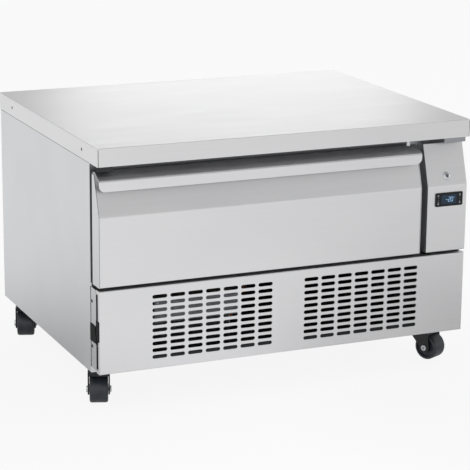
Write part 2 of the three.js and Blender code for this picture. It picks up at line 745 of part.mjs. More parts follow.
// Telescopic slides: a lipped channel on the cavity's wall, a second one inside it,
// and a hat-shaped member on the box whose feet run behind the second one's lips
function makeSlides() {
  const t = slide.wall;
  const outerH = slide.height / 2 - t / 2;
  const outerU = [seat + t / 2, slide.outerDepth - t / 2];
  const middleH = outerH - t - slide.play;
  const middleU = [outerU[0] + t + slide.play, outerU[1] - t - slide.play];
  const footU = middleU[1] - t - slide.play;
  const footH = middleH - t / 2 - slide.play;
  const webU = slide.reach - t / 2;
  const legH = slide.drawerWeb / 2 - t / 2;
  const channel = (u, h, lipDepth) => [
    [u[1], -h + lipDepth], [u[1], -h], [u[0], -h], [u[0], h], [u[1], h], [u[1], h - lipDepth],
  ];
  const slideFront = carcassFront + sheet + slide.inset;
  const slideZ = cavity.bottom + slide.rise;
  const hat = [[footU, footH], [footU, legH], [webU, legH], [webU, -legH], [footU, -legH], [footU, -footH]];
  for (const [side, wall, inward] of [['left', cavity.left, 1], ['right', cavity.right, -1]]) {
    const member = (name, corners, look) => {
      const placedCorners = corners.map(([u, h]) => [wall + inward * u, slideZ + h]);
      const section = foldedSheet(placedCorners, t, slide.bend);
      piece(`${name}_rail_${side}`, prism(section, 'y', slideFront, slideFront + slide.length), look);
    };
    member('cabinet', channel(outerU, outerH, slide.lip), finishes.zinc);
    member('middle', channel(middleU, middleH, slide.hook), finishes.zinc);
    member('drawer', hat, finishes.zinc);
  }
}

// A block of fins on both sides of the plane of the tubes, seen from above
function finBlock({ left, right, front, back, low, top, fins, finSheet, tube }) {
  const start = left + finSheet / 2;
  const pitch = (right - left - finSheet * 2) / (fins - 1);
  const middle = (front + back) / 2;
  const nearSide = [];
  const farSide = [];
  for (let fin = 0; fin < fins; fin += 1) {
    const x = start + fin * pitch;
    if (fin > 0) {
      nearSide.push([x, middle - tube]);
      farSide.unshift([x, middle + tube]);
    }
    nearSide.push([x, front], [x + finSheet, front]);
    farSide.unshift([x + finSheet, back], [x, back]);
    if (fin < fins - 1) {
      nearSide.push([x + finSheet, middle - tube]);
      farSide.unshift([x + finSheet, middle + tube]);
    }
  }
  return prism(outline([...nearSide, ...farSide]), 'z', low, top);
}

// The bends that join the tubes in pairs where they stand out of a coil's end plates
function endBends({ left, right, middle, low, top, tubeRows, tube }) {
  const pitch = (top - low) / (tubeRows * 2);
  const bends = [];
  for (const [x, outward] of [[left, -1], [right, 1]]) {
    for (let row = 0; row < tubeRows; row += 1) {
      const ring = new THREE.Shape();
      ring.absarc(0, 0, pitch / 2 + tube, -Math.PI / 2, Math.PI / 2);
      ring.absarc(0, 0, pitch / 2 - tube, Math.PI / 2, -Math.PI / 2, true);
      const turn = [90, 0, outward > 0 ? 0 : 180];
      const bend = prism(ring, 'z', -tube, tube, 2);
      bends.push(placed(bend, { turn, at: [x - outward * seat, middle, low + pitch * (row * 2 + 1)] }));
    }
  }
  return bends;
}

// A fan: a domed hub with pitched blades and a shaft hole open at the back, along the z axis
const bladeHalf = (blades.width / 2) * Math.sin(THREE.MathUtils.degToRad(blades.turn));

function fan(radius) {
  const dome = blades.hub * bladeShares.dome;
  const hub = turned([
    [0, -bladeHalf], [blades.hub, -bladeHalf], [blades.hub, 0], [dome, bladeHalf], [0, bladeHalf],
  ], smallSteps);
  const spread = Math.asin(blades.width / 2 / radius);
  const petal = new THREE.Shape();
  petal.moveTo(dome, -blades.width * bladeShares.root);
  petal.lineTo(radius * Math.cos(spread), -radius * Math.sin(spread));
  petal.absarc(0, 0, radius, -spread, spread * bladeShares.trailing);
  petal.lineTo(dome, blades.width * bladeShares.root);
  const blade = prism(petal, 'z', -blades.sheet / 2, blades.sheet / 2).rotate([blades.turn, 0, 0]);
  let solid = hub;
  for (let i = 0; i < blades.count; i += 1) {
    solid = join(solid, blade.rotate([0, 0, (360 / blades.count) * i]));
  }
  return cut(solid, rod(motor.shaft + seat, -bladeHalf - overrun, bladeHalf - motor.shaft, smallSteps));
}

// Legs that stand on a plate round a fan's hole and reach in to its motor, along the z axis
function bracketLegs(holeRadius, inner, stand) {
  const outer = holeRadius + bracket.foot;
  const top = stand + bracket.sheet;
  return legTurns.map((turn) => join(
    block([inner, -bracket.width, stand], [outer, bracket.width, top]),
    block([holeRadius + bracket.footGap, -bracket.width, 0], [outer, bracket.width, top]),
  ).rotate([0, 0, turn]));
}

function fanMotor(radius, length, stand) {
  return join(
    rod(radius, stand, stand + length, smallSteps),
    rod(motor.shaft, stand - motor.shaftLength, stand + overrun, smallSteps),
  );
}

// Evaporator: the coil at the back of the drawer compartment, and the cover that carries its fan
function makeEvaporator() {
  const back = cavity.back - seat;
  const front = back - evaporator.depth;
  const low = cavity.bottom + seat;
  const finsLow = low + evaporator.bottomGap;
  const top = cavity.top - evaporator.topGap;
  const left = cavity.left + evaporator.inset;
  const right = cavity.right - evaporator.inset;
  const plates = [left, right - evaporator.finSheet].map((x) => (
    block([x, front, low], [x + evaporator.finSheet, back, top])
  ));
  const fins = finBlock({ ...evaporator, left, right, front, back, low: finsLow, top });
  const bends = endBends({ ...evaporator, left, right, middle: (front + back) / 2, low: finsLow, top });
  piece('evaporator_coil', join(fins, ...plates, ...bends), finishes.aluminium);

  const [coverLeft, coverRight, coverTop] = [cavity.left + seat, cavity.right - seat, cavity.top - seat];
  const face = outline([[coverLeft, low], [coverRight, low], [coverRight, coverTop], [coverLeft, coverTop]]);
  const fanZ = (cavity.bottom + cavity.top) / 2;
  const holeRadius = evaporator.fanRadius + evaporator.fanGap;
  const hole = new THREE.Path().absarc(evaporatorX, fanZ, holeRadius, 0, Math.PI * 2);
  face.holes.push(new THREE.Path(hole.getSpacedPoints(roundSteps).slice(0, -1)));
  for (const side of [-1, 1]) {
    const slotLeft = evaporatorX + side * intake.outwards - intake.length / 2;
    for (let row = 0; row < intake.rows; row += 1) {
      const z = fanZ + (row - (intake.rows - 1) / 2) * intake.spacing;
      face.holes.push(slotHole(slotLeft, z, intake.length, intake.height));
    }
  }
  const plate = prism(face, 'y', evaporatorFront, evaporatorFront + sheet);
  const legs = bracketLegs(holeRadius, evaporator.motorRadius / 2, evaporator.stand);
  const carrier = join(fanMotor(evaporator.motorRadius, evaporator.motorLength, evaporator.stand), ...legs);
  const at = [evaporatorX, evaporatorFront + sheet / 2, fanZ];
  piece('evaporator_cover', join(plate, placed(carrier, { turn: [-90, 0, 0], at })), finishes.stainless);
  const fanY = evaporatorFront + sheet + blades.gap + bladeHalf;
  const fanAt = [evaporatorX, fanY, fanZ];
  piece('evaporator_fan', placed(fan(evaporator.fanRadius), { turn: [90, 0, 0], at: fanAt }),
    finishes.blackPlastic);
}

// Base tray: the floor of the machine compartment, with rims turned up at the front and back
function makeBaseTray() {
  const half = tray.sheet / 2;
  const front = carcassFront + sheet + foldClear + half;
  const back = backY - sheet - seat - half;
  const section = foldedSheet([
    [front, trayBottom + tray.rim], [front, trayBottom + half],
    [back, trayBottom + half], [back, trayBottom + tray.rim],
  ], tray.sheet);
  piece('base_tray', prism(section, 'x', -insideX, insideX), finishes.galvanised);
}

// Compressor: a welded pot on a sprung foot plate, with its terminal box and discharge stub
function makeCompressor() {
  const low = machineFloor + compressor.raised;
  const top = foamBottom - compressor.headroom;
  const seamLow = low + (top - low) * potShares.seam;
  const seamHigh = seamLow + compressor.seam;
  const { radius, seam, shoulder, dome } = compressor;
  const pot = turned([
    [0, low], [radius - shoulder, low], [radius, low + shoulder], [radius, seamLow],
    [radius + seam, seamLow], [radius + seam, seamHigh], [radius - seam / 2, seamHigh],
    [radius - seam / 2, top - dome], [radius - shoulder, top - dome * (1 - potShares.dome)],
    [dome, top - dome * (1 - potShares.crown)], [0, top],
  ]);
  const footLow = machineFloor + compressor.footRise;
  const feet = block(
    [-compressor.foot, -compressor.foot, footLow],
    [compressor.foot, compressor.foot, footLow + compressor.footSheet],
  );
  const spread = compressor.foot - compressor.grommet;
  const grommets = [[-1, -1], [-1, 1], [1, -1], [1, 1]].map(([x, y]) => (
    rod(compressor.grommet, machineFloor, footLow + compressor.footSheet * 2, smallSteps)
      .translate(x * spread, y * spread, 0)
  ));
  const stub = placed(rod(compressor.stub, 0, radius + compressor.stubReach, smallSteps), {
    turn: [0, -90, 0], at: [0, 0, machineFloor + compressor.stubHeight],
  });
  const terminal = block(
    [-compressor.terminalWidth / 2, -radius - compressor.terminalDepth, low + shoulder * 2],
    [compressor.terminalWidth / 2, -radius / 2, low + shoulder * 2 + compressor.terminalHeight],
  );
  const solid = join(pot, feet, ...grommets, stub, terminal);
  piece('compressor', solid.translate(compressorX, compressorY, 0), finishes.blackPaint);
}

// Condenser with its shroud, fan and motor, in line from the front to the back
function makeCondenser() {
  const [left, right, front] = [condenserLeft, condenserRight, condenserFront];
  const back = front + condenser.depth;
  const finsLow = machineFloor + condenser.raised;
  const top = foamBottom - condenser.headroom;
  const plates = [left, right - condenser.finSheet].map((x) => (
    block([x, front, machineFloor], [x + condenser.finSheet, back, top])
  ));
  const fins = finBlock({ ...condenser, left, right, front, back, low: finsLow, top });
  const bends = endBends({ ...condenser, left, right, middle: (front + back) / 2, low: finsLow, top });
  piece('condenser_coil', join(fins, ...plates, ...bends), finishes.aluminium);

  const shroudFront = back + seat;
  const shroudBack = shroudFront + shroud.depth;
  const middleX = (left + right) / 2;
  const middleZ = (machineFloor + top) / 2;
  const holeRadius = shroud.fanRadius + shroud.fanGap;
  const shell = cut(
    block([left, shroudFront, machineFloor], [right, shroudBack, top]),
    block(
      [left + shroud.sheet, shroudFront - overrun, machineFloor + shroud.sheet],
      [right - shroud.sheet, shroudBack - shroud.sheet, top - shroud.sheet],
    ),
    placed(rod(holeRadius, -overrun, overrun), { turn: [90, 0, 0], at: [middleX, shroudBack, middleZ] }),
  );
  const ringOuter = motor.radius + seat + bracket.width;
  const ring = cut(
    rod(ringOuter, motor.stand, motor.stand + bracket.sheet, smallSteps),
    rod(motor.radius + seat, motor.stand - overrun, motor.stand + overrun, smallSteps),
  );
  const legs = bracketLegs(holeRadius, ringOuter - bracket.width / 2, motor.stand);
  const at = [middleX, shroudBack - shroud.sheet / 2, middleZ];
  const turn = [-90, 0, 0];
  piece('condenser_shroud', join(shell, placed(join(ring, ...legs), { turn, at })), finishes.galvanised);
  piece('condenser_fan_motor', placed(fanMotor(motor.radius, motor.length, motor.stand), { turn, at }),
    finishes.blackPaint);
  const fanY = shroudBack - shroud.sheet - blades.gap - bladeHalf;
  piece('condenser_fan', placed(fan(shroud.fanRadius), { turn: [90, 0, 0], at: [middleX, fanY, middleZ] }),
    finishes.aluminium);
}

// A round tube along a level line, mitred at each corner and closed at both ends
function levelTube(line, radius) {
  const positions = [];
  const index = [];
  line.forEach((point, i) => {
    const into = point.clone().sub(line[Math.max(i - 1, 0)]).normalize();
    const out = line[Math.min(i + 1, line.length - 1)].clone().sub(point).normalize();
    const along = into.clone().add(out).normalize();
    const stretch = 1 / Math.max(along.dot(into), along.dot(out));
    for (let side = 0; side < pipe.sides; side += 1) {
      const angle = (Math.PI * 2 * side) / pipe.sides;
      const across = radius * stretch * Math.cos(angle);
      positions.push(point.x - along.y * across, point.y + along.x * across, radius * Math.sin(angle));
      if (i === 0) continue;
      const next = (side + 1) % pipe.sides;
      const [here, there] = [i * pipe.sides, (i - 1) * pipe.sides];
      index.push(there + side, there + next, here + side, there + next, here + next, here + side);
    }
  });
  const last = (line.length - 1) * pipe.sides;
  for (let side = 1; side < pipe.sides - 1; side += 1) {
    index.push(0, side + 1, side, last, last + side, last + side + 1);
  }
  const vertProperties = new Float32Array(positions);
  const triVerts = new Uint32Array(index);
  return new wasm.Manifold(new wasm.Mesh({ numProp: 3, vertProperties, triVerts }));
}

// Discharge pipe from the compressor to the condenser, with the filter drier in its first run
function makePipe() {
  const z = machineFloor + compressor.stubHeight;
  const startX = compressorX - compressor.radius - compressor.stubReach - seat;
  const turnX = condenserRight + pipe.run;
  const endY = condenserFront + pipe.inset;
  const line = roundedLine([
    [startX, compressorY], [turnX, compressorY], [turnX, endY], [condenserRight + seat, endY],
  ], pipe.bend);
  const drierStart = startX - pipe.bend - pipe.drierLength;
  const drier = placed(rod(pipe.drier, 0, pipe.drierLength, smallSteps), {
    turn: [0, 90, 0], at: [drierStart, compressorY, z],
  });
  piece('refrigerant_pipe', join(levelTube(line, pipe.radius).translate(0, 0, z), drier), finishes.copper);
}

// Electrical box, hung by two tabs from the underside of the insulated compartment
function makeElectricalBox() {
  const left = condenserLeft + electrics.inset;
  const right = condenserRight;
  const front = condenserFront - electrics.ahead;
  const back = front + electrics.depth;
  const top = foamBottom - electrics.drop;
  const body = block([left, front, top - electrics.height], [right, back, top]);
  const tabs = [left, right - electrics.tab].map((x) => block(
    [x, back - electrics.sheet, top - electrics.height], [x + electrics.tab, back, foamBottom - seat],
  ));
  piece('electrical_box', join(body, ...tabs), finishes.galvanised);
}

// A block whose foot is smaller than its mouth
function taperedBlock(low, high, draft) {
  const size = high.map((value, i) => value - low[i]);
  const geometry = new THREE.BoxGeometry(...size);
  const position = geometry.attributes.position;
  for (let i = 0; i < position.count; i += 1) {
    if (position.getZ(i) < 0) {
      position.setX(i, position.getX(i) - Math.sign(position.getX(i)) * draft);
      position.setY(i, position.getY(i) - Math.sign(position.getY(i)) * draft);
    }
  }
  return toSolid(geometry.translate(...high.map((value, i) => (value + low[i]) / 2)));
}

// Drip tray, where the meltwater evaporates
function makeDripTray() {
  const right = compressorX - compressor.foot - drip.gap;
  const left = right - drip.width;
  const back = backY - drip.backGap;
  const front = back - drip.depth;
  const top = machineFloor + drip.height;
  const outer = taperedBlock([left, front, machineFloor], [right, back, top], drip.draft);
  const inner = taperedBlock(
    [left + drip.wall, front + drip.wall, machineFloor + drip.wall],
    [right - drip.wall, back - drip.wall, top + drip.wall], drip.draft,
  );
  piece('drip_tray', cut(outer, inner), finishes.blackPlastic);
}

// Mains inlet: a socket with three pins, set into the back panel
function makeInlet() {
  const back = backY + seat;
  const rect = (width, height, low, high) => block(
    [inletX - width / 2, low, inletZ - height / 2], [inletX + width / 2, high, inletZ + height / 2],
  );
  const flangePlate = rect(inlet.flangeWidth, inlet.flangeHeight, back, back + inlet.proud);
  const body = rect(inlet.width, inlet.height, back - inlet.depth, back + inlet.proud / 2);
  const rims = inlet.rim * 2;
  const recess = rect(inlet.width - rims, inlet.height - rims, back - inlet.recess, back + overrun);
  const pins = [-1, 0, 1].map((place) => {
    const x = inletX + place * inlet.pinSpacing / 2;
    return block(
      [x - inlet.pin / 2, back - inlet.recess - inlet.pin, inletZ - inlet.pinWidth / 2],
      [x + inlet.pin / 2, back - inlet.pin, inletZ + inlet.pinWidth / 2],
    );
  });
  piece('mains_inlet', join(cut(join(flangePlate, body), recess), ...pins), finishes.blackPlastic);
}

// Casters, each built with its swivel along the z axis and its wheel trailing along +x
function hexHead(across, low, high) {
  return rod(across, low, high, hexSides);
}

function makeCaster(name, x, y) {
  const plateTop = trayBottom - seat;
  const plateLow = plateTop - caster.plateSheet;
  const raceLow = plateLow - race.height;
  const crownTop = raceLow - seat;
  const crownLow = crownTop - fork.crown;
  const nutLow = crownLow - seat - king.nutHeight;
  const half = caster.plate / 2;
  const plate = prism(roundedRectangle(-half, -half, half, half, caster.corner), 'z', plateLow, plateTop);
  const ballRace = turned([
    [0, raceLow], [race.neck, raceLow], [race.radius, plateLow - race.lip],
    [race.radius, plateLow + caster.plateSheet / 2], [0, plateLow + caster.plateSheet / 2],
  ], smallSteps);
  const pin = rod(king.radius, nutLow, plateLow, smallSteps);
  const nut = hexHead(king.nut, nutLow, crownLow - seat);
  const bolts = [[-1, -1], [-1, 1], [1, -1], [1, 1]].map(([acrossX, acrossY]) => (
    hexHead(caster.bolt, plateLow - caster.boltHead, plateTop)
      .translate(acrossX * caster.boltReach, acrossY * caster.boltReach, 0)
  ));
  const at = [x, y, 0];
  const fixed = join(plate, ballRace, pin, nut, ...bolts);
  piece(`caster_plate_${name}`, placed(fixed, { at }), finishes.blackPaint);

  const turn = [0, 0, swivelTurns[name]];
  const legInner = wheel.width / 2 + wheel.hubProud + seat;
  const legOuter = legInner + fork.sheet;
  const side = new THREE.Shape();
  side.moveTo(-fork.back, crownLow);
  side.lineTo(caster.trail - fork.legWidth, wheel.radius);
  side.absarc(caster.trail, wheel.radius, fork.legWidth, Math.PI, Math.PI * 2);
  side.lineTo(fork.front, crownLow);
  side.lineTo(fork.front, crownTop);
  side.lineTo(-fork.back, crownTop);
  const legSpans = [[-legOuter, -legInner], [legInner, legOuter]];
  const legs = legSpans.map(([low, high]) => prism(side, 'y', low, high));
  const crownShape = roundedRectangle(-fork.back, -legOuter, fork.front, legOuter, fork.sheet);
  const crown = prism(crownShape, 'z', crownLow, crownTop);
  const axleAt = [caster.trail, 0, wheel.radius];
  const kingHole = rod(king.radius + seat, crownLow - overrun, crownTop + overrun, smallSteps);
  const axleHole = rod(axle.radius + seat, -legOuter - overrun, legOuter + overrun, smallSteps);
  const forkSolid = cut(
    join(crown, ...legs), kingHole, placed(axleHole, { turn: [90, 0, 0], at: axleAt }),
  );
  piece(`caster_fork_${name}`, placed(forkSolid, { turn, at }), finishes.blackPaint);

  const w = wheel.width / 2;
  const hub = w + wheel.hubProud;
  const wheelSolid = turned([
    [axle.radius + seat, -hub], [wheel.hub, -hub], [wheel.hub, -w + wheel.dish],
    [wheel.rim, -w + wheel.dish], [wheel.radius - wheel.shoulder, -w],
    [wheel.radius, -w + wheel.shoulder], [wheel.radius, w - wheel.shoulder],
    [wheel.radius - wheel.shoulder, w], [wheel.rim, w - wheel.dish],
    [wheel.hub, w - wheel.dish], [wheel.hub, hub], [axle.radius + seat, hub], [axle.radius + seat, -hub],
  ]);
  const spun = placed(wheelSolid, { turn: [90, 0, 0], at: axleAt });
  piece(`caster_wheel_${name}`, placed(spun, { turn, at }), finishes.wheelPlastic);

  const headLow = legOuter + seat;
  const bolt = join(
    rod(axle.radius, -headLow - axle.head, headLow + axle.head, smallSteps),
    hexHead(axle.headAcross, headLow, headLow + axle.head),
    hexHead(axle.headAcross, -headLow - axle.head, -headLow),
  );
  const bolted = placed(bolt, { turn: [90, 0, 0], at: axleAt });
  piece(`caster_axle_${name}`, placed(bolted, { turn, at }), finishes.zinc);
}

makeWorktop();
makeSidePanels();
makeBackPanel();
makeInsulation();
makeLiner();
makeFrontFrame();
makeFascia();
makeController();
makeLock();
makeGrillePanel();
makeCornerPosts();
makeHinge();
makeDrawerFront();
makeDrawerCore();
makeGasket();
makeDrawerBox();
makeSlides();
makeEvaporator();
makeBaseTray();
makeCompressor();
makeCondenser();
makePipe();
makeElectricalBox();
makeDripTray();
makeInlet();
const casterX = sideX - caster.inward;
for (const [end, y] of [['front', faceY + caster.fromFront], ['back', backY - caster.fromBack]]) {
  makeCaster(`${end}_left`, -casterX, y);
  makeCaster(`${end}_right`, casterX, y);
}

export default chefBase;
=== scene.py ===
import math

import bmesh
import bpy
from mathutils import Matrix, Vector


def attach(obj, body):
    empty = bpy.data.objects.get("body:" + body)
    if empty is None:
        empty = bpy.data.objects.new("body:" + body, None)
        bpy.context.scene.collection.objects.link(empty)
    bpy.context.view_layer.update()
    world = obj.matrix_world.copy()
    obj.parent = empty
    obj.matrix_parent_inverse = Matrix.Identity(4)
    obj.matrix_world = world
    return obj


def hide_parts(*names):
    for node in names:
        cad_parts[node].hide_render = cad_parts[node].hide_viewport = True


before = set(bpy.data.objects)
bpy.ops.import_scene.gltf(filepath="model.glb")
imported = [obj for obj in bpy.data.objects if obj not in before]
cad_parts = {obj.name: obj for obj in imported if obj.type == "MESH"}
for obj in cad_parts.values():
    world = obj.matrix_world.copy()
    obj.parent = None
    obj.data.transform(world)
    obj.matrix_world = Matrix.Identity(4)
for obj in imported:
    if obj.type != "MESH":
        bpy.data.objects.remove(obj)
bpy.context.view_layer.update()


# Worktop
# A sheet of 1.5 mm stainless steel, folded down all round into a 40 mm apron. Its corners are welded and
# ground, with a narrow joint in front and behind. The brushed grain runs along the front.
MM = 0.001


def linear(code):
    """An sRGB hex colour as linear red, green, blue and alpha."""
    parts = [int(code[i:i + 2], 16) / 255 for i in (1, 3, 5)]
    return [p / 12.92 if p <= 0.04045 else ((p + 0.055) / 1.055) ** 2.4 for p in parts] + [1.0]


def add_node(tree, kind, inputs=None, **settings):
    """Adds a node, sets its properties, and sets or links its inputs."""
    node = tree.nodes.new(kind)
    for name, value in settings.items():
        setattr(node, name, value)
    for socket, value in (inputs or {}).items():
        if isinstance(value, bpy.types.NodeSocket):
            tree.links.new(value, node.inputs[socket])
        else:
            node.inputs[socket].default_value = value
    return node


def new_material(name, **shader_inputs):
    """A material with one principled shader, and its node tree."""
    material = bpy.data.materials.new(name)
    material.use_nodes = True
    tree = material.node_tree
    shader = tree.nodes["Principled BSDF"]
    for socket, value in shader_inputs.items():
        shader.inputs[socket.replace("_", " ")].default_value = value
    return material, tree, shader


def blotches(tree, size, stretch=(1, 1, 1), detail=3.0):
    """Blotches that keep their place on the object: their size in millimetres, drawn out along an axis."""
    place = add_node(tree, "ShaderNodeTexCoord")
    scale = [1 / (size * MM * s) for s in stretch]
    mapped = add_node(tree, "ShaderNodeMapping", {"Vector": place.outputs["Object"], "Scale": scale})
    return add_node(tree, "ShaderNodeTexNoise",
                    {"Vector": mapped.outputs[0], "Scale": 1.0, "Detail": detail}).outputs[0]


def surface(tree, shader, tones, colours, grain=None, polish=None, relief=None, into="Base Color"):
    """Gives a surface its colour between two hex colours by one pattern, and by its grain its roughness
    between two values and its relief, which is a depth in millimetres and a strength."""
    grain = tones if grain is None else grain
    middle = {"From Min": 0.3, "From Max": 0.7}
    share = add_node(tree, "ShaderNodeMapRange", {"Value": tones, **middle})
    first, second = (linear(colour) for colour in colours)
    mix = add_node(tree, "ShaderNodeMix", {"Factor": share.outputs[0], 6: first, 7: second}, data_type="RGBA")
    tree.links.new(mix.outputs[2], shader.inputs[into])
    if polish:
        rough = add_node(tree, "ShaderNodeMapRange",
                         {"Value": grain, **middle, "To Min": polish[0], "To Max": polish[1]})
        tree.links.new(rough.outputs[0], shader.inputs["Roughness"])
    if relief:
        raised = add_node(tree, "ShaderNodeBump",
                          {"Height": grain, "Distance": relief[0] * MM, "Strength": relief[1]})
        tree.links.new(raised.outputs[0], shader.inputs["Normal"])


def brushed_stainless(name, light, dark, grain=(60, 1, 1), polish=(0.38, 0.46)):
    """Stainless steel brushed with a belt. The real scratches are some hundredths of a millimetre wide, too
    fine to show, and are drawn 3 mm wide. They give the eye a soft grain that smears reflections across it,
    and slow clouds 170 mm wide keep the large faces from looking flat."""
    material, tree, shader = new_material(name, Metallic=1.0)
    scratches = blotches(tree, 3.0, grain)
    clouds = blotches(tree, 170.0, (2, 1, 1), 1.0)
    both = add_node(tree, "ShaderNodeMath", {0: scratches, 1: clouds}, operation="ADD")
    tones = add_node(tree, "ShaderNodeMath", {0: both.outputs[0], 1: 0.5}, operation="MULTIPLY")
    surface(tree, shader, tones.outputs[0], (dark, light), scratches, polish, (0.15, 0.08))
    return material


def box_mesh(bm, start, end):
    """A box between two opposite corners in millimetres."""
    size = [abs(b - a) * MM for a, b in zip(start, end)]
    middle = [(a + b) / 2 * MM for a, b in zip(start, end)]
    bmesh.ops.create_cube(bm, size=1.0, matrix=Matrix.Translation(middle) @ Matrix.Diagonal((*size, 1.0)))


def turned_mesh(bm, profile, steps=32, place=None):
    """A profile of (radius, height) in millimetres spun about the z axis, then put in its place."""
    before = set(bm.verts)
    points = [bm.verts.new((r * MM, 0, h * MM)) for r, h in profile]
    edges = [bm.edges.new(pair) for pair in zip(points, points[1:])]
    bmesh.ops.spin(bm, geom=points + edges, cent=(0, 0, 0), axis=(0, 0, 1), angle=math.tau, steps=steps,
                   use_merge=True)
    made = [v for v in bm.verts if v not in before]
    bmesh.ops.remove_doubles(bm, verts=made, dist=0.001 * MM)
    if place:
        bmesh.ops.transform(bm, matrix=place, verts=[v for v in bm.verts if v not in before])


def rod_mesh(bm, radius, start, end, steps=16, bevel=0.0):
    """A round rod between two points in millimetres, with its end edges broken."""
    a, b = Vector(start) * MM, Vector(end) * MM
    turn = (b - a).to_track_quat("Z", "Y").to_matrix().to_4x4()
    reach = (b - a).length / MM
    edge = bevel or radius * 0.08
    profile = [(0, 0), (radius - edge, 0), (radius, edge), (radius, reach - edge), (radius - edge, reach),
               (0, reach)]
    turned_mesh(bm, profile, steps, Matrix.Translation(a) @ turn)


def bevel_edges(bm, test, radius, segments=3):
    """Rounds the edges whose middle in millimetres and direction pass a test."""
    chosen = []
    for edge in bm.edges:
        a, b = (v.co / MM for v in edge.verts)
        if test((a + b) / 2, (b - a).normalized()):
            chosen.append(edge)
    bmesh.ops.bevel(bm, geom=chosen, offset=radius * MM, affect="EDGES", segments=segments, profile=0.5,
                    material=-1, clamp_overlap=True)


def new_object(bm, name):
    """The mesh as an object in the scene, with its faces turned outward."""
    bmesh.ops.recalc_face_normals(bm, faces=bm.faces)
    mesh = bpy.data.meshes.new(name)
    bm.to_mesh(mesh)
    bm.free()
    made = bpy.data.objects.new(name, mesh)
    bpy.context.scene.collection.objects.link(made)
    return made


def apply_modifiers(piece):
    """Bakes an object's modifiers into its mesh."""
    old = piece.data
    depsgraph = bpy.context.evaluated_depsgraph_get()
    piece.data = bpy.data.meshes.new_from_object(piece.evaluated_get(depsgraph))
    piece.modifiers.clear()
    piece.data.name = piece.name
    bpy.data.meshes.remove(old)


def thicken(piece, thickness, offset=0.0):
    """Gives a sheet its thickness, half on each side unless the offset says otherwise."""
    wall = piece.modifiers.new("wall", "SOLIDIFY")
    wall.thickness, wall.offset, wall.use_even_offset = thickness * MM, offset, True
    apply_modifiers(piece)


def cut_out(piece, cutter_mesh):
    """Cuts a mesh out of a piece."""
    cutter = new_object(cutter_mesh, "cutter")
    cut = piece.modifiers.new("cut", "BOOLEAN")
    cut.object, cut.operation, cut.solver, cut.use_self = cutter, "DIFFERENCE", "EXACT", True
    apply_modifiers(piece)
    spare = cutter.data
    bpy.data.objects.remove(cutter)
    bpy.data.meshes.remove(spare)


def fit(piece, material, body, slot, *replaced, smooth=40):
    """Gives a finished piece its material, shading and body, and hides the nodes it stands for. The slot is not
    used.
    """
    piece.data.materials.clear()
    piece.data.materials.append(material)
    piece.data.shade_smooth()
    piece.data.set_sharp_from_angle(angle=math.radians(smooth))
    flats = piece.modifiers.new("flats", "WEIGHTED_NORMAL")
    flats.weight, flats.keep_sharp = 100, True
    apply_modifiers(piece)
    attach(piece, body)
    if replaced:
        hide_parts(*replaced)


# Seen at a low angle the top mirrors the white horizon, so it looks nearly white, with a faint grain.
top_steel = brushed_stainless("brushed_stainless_top", "#e0e0e1", "#dadadb")
top = {"half": (450, 350), "low": 555, "high": 595, "sheet": 1.5, "lip": 14, "bend": 1.1, "corner": 2.0}
half_x, half_y = top["half"]
sheet = bmesh.new()
box_mesh(sheet, (-half_x, -half_y, top["low"]), (half_x, half_y, top["high"]))
bmesh.ops.delete(sheet, geom=[f for f in sheet.faces if f.normal.z < -0.5], context="FACES_ONLY")
bevel_edges(sheet, lambda p, d: abs(d.z) > 0.9, top["corner"], 3)
rim_reach = 1.3
bevel_edges(sheet, lambda p, d: p.z > top["high"] - 0.5 and max(abs(p.x) - half_x, abs(p.y) - half_y) > -rim_reach,
            top["bend"], 4)
bmesh.ops.remove_doubles(sheet, verts=sheet.verts, dist=0.02 * MM)
worktop = new_object(sheet, "worktop_sheet")
thicken(worktop, top["sheet"], -1.0)

screw = {"y": 250, "z": 575, "radius": 3.8, "play": 0.3, "sunk": 1.0, "hole": 5}
screw_places = [(side, side * half_x, end * screw["y"]) for side in (-1, 1) for end in (-1, 1)]
seam = {"inward": 1.9, "width": 1.3, "depth": 1.3, "above": 2.5, "sunk": 0.35, "play": 0.02, "short": 0.3}
seam_places = [(side * (half_x - seam["inward"]), end) for side in (-1, 1) for end in (-1, 1)]
openings = bmesh.new()
for side, x, y in screw_places:
    rod_mesh(openings, screw["radius"], (x - screw["hole"], y, screw["z"]), (x + screw["hole"], y, screw["z"]), 20)
for x, end in seam_places:
    y = end * half_y
    box_mesh(openings, (x - seam["width"] / 2, y - seam["depth"], top["low"] - 2),
             (x + seam["width"] / 2, y + seam["depth"], top["high"] - seam["above"]))
cut_out(worktop, openings)
fit(worktop, top_steel, "cabinet", "stainless", "worktop")

lip_inset = 1.4
flange = bmesh.new()
box_mesh(flange, (-half_x + lip_inset, -half_y + lip_inset, top["low"]),
         (half_x - lip_inset, -half_y + top["lip"], top["low"] + top["sheet"]))
fit(new_object(flange, "worktop_front_lip"), top_steel, "cabinet", "stainless")


# Joints of the worktop
# Beads of dark elastic sealant, pressed into the narrow joints at the apron's corners and drawn along under
# the apron at both sides, where the top sits on the side panels.
# The beads are painted shade: their soft, dull black stands in for the shadow deep in the joints, and gives the
# eye a thin dark line with hardly any shine.
shade_sealant, tree, shader = new_material("joint_sealant_painted_shade", Roughness=0.7)
surface(tree, shader, blotches(tree, 4.0), ("#1c1d1f", "#29292b"))
# Painted shade: dark beads in the corner joints of the apron.
beads = bmesh.new()
for x, end in seam_places:
    reach = seam["width"] / 2 - seam["play"]
    box_mesh(beads, (x - reach, end * (half_y - seam["sunk"]), top["low"] + seam["short"]),
             (x + reach, end * (half_y - seam["depth"] + 0.05), top["high"] - seam["above"] - seam["short"]))
fit(new_object(beads, "apron_corner_shade_beads"), shade_sealant, "cabinet", "gasket_rubber")

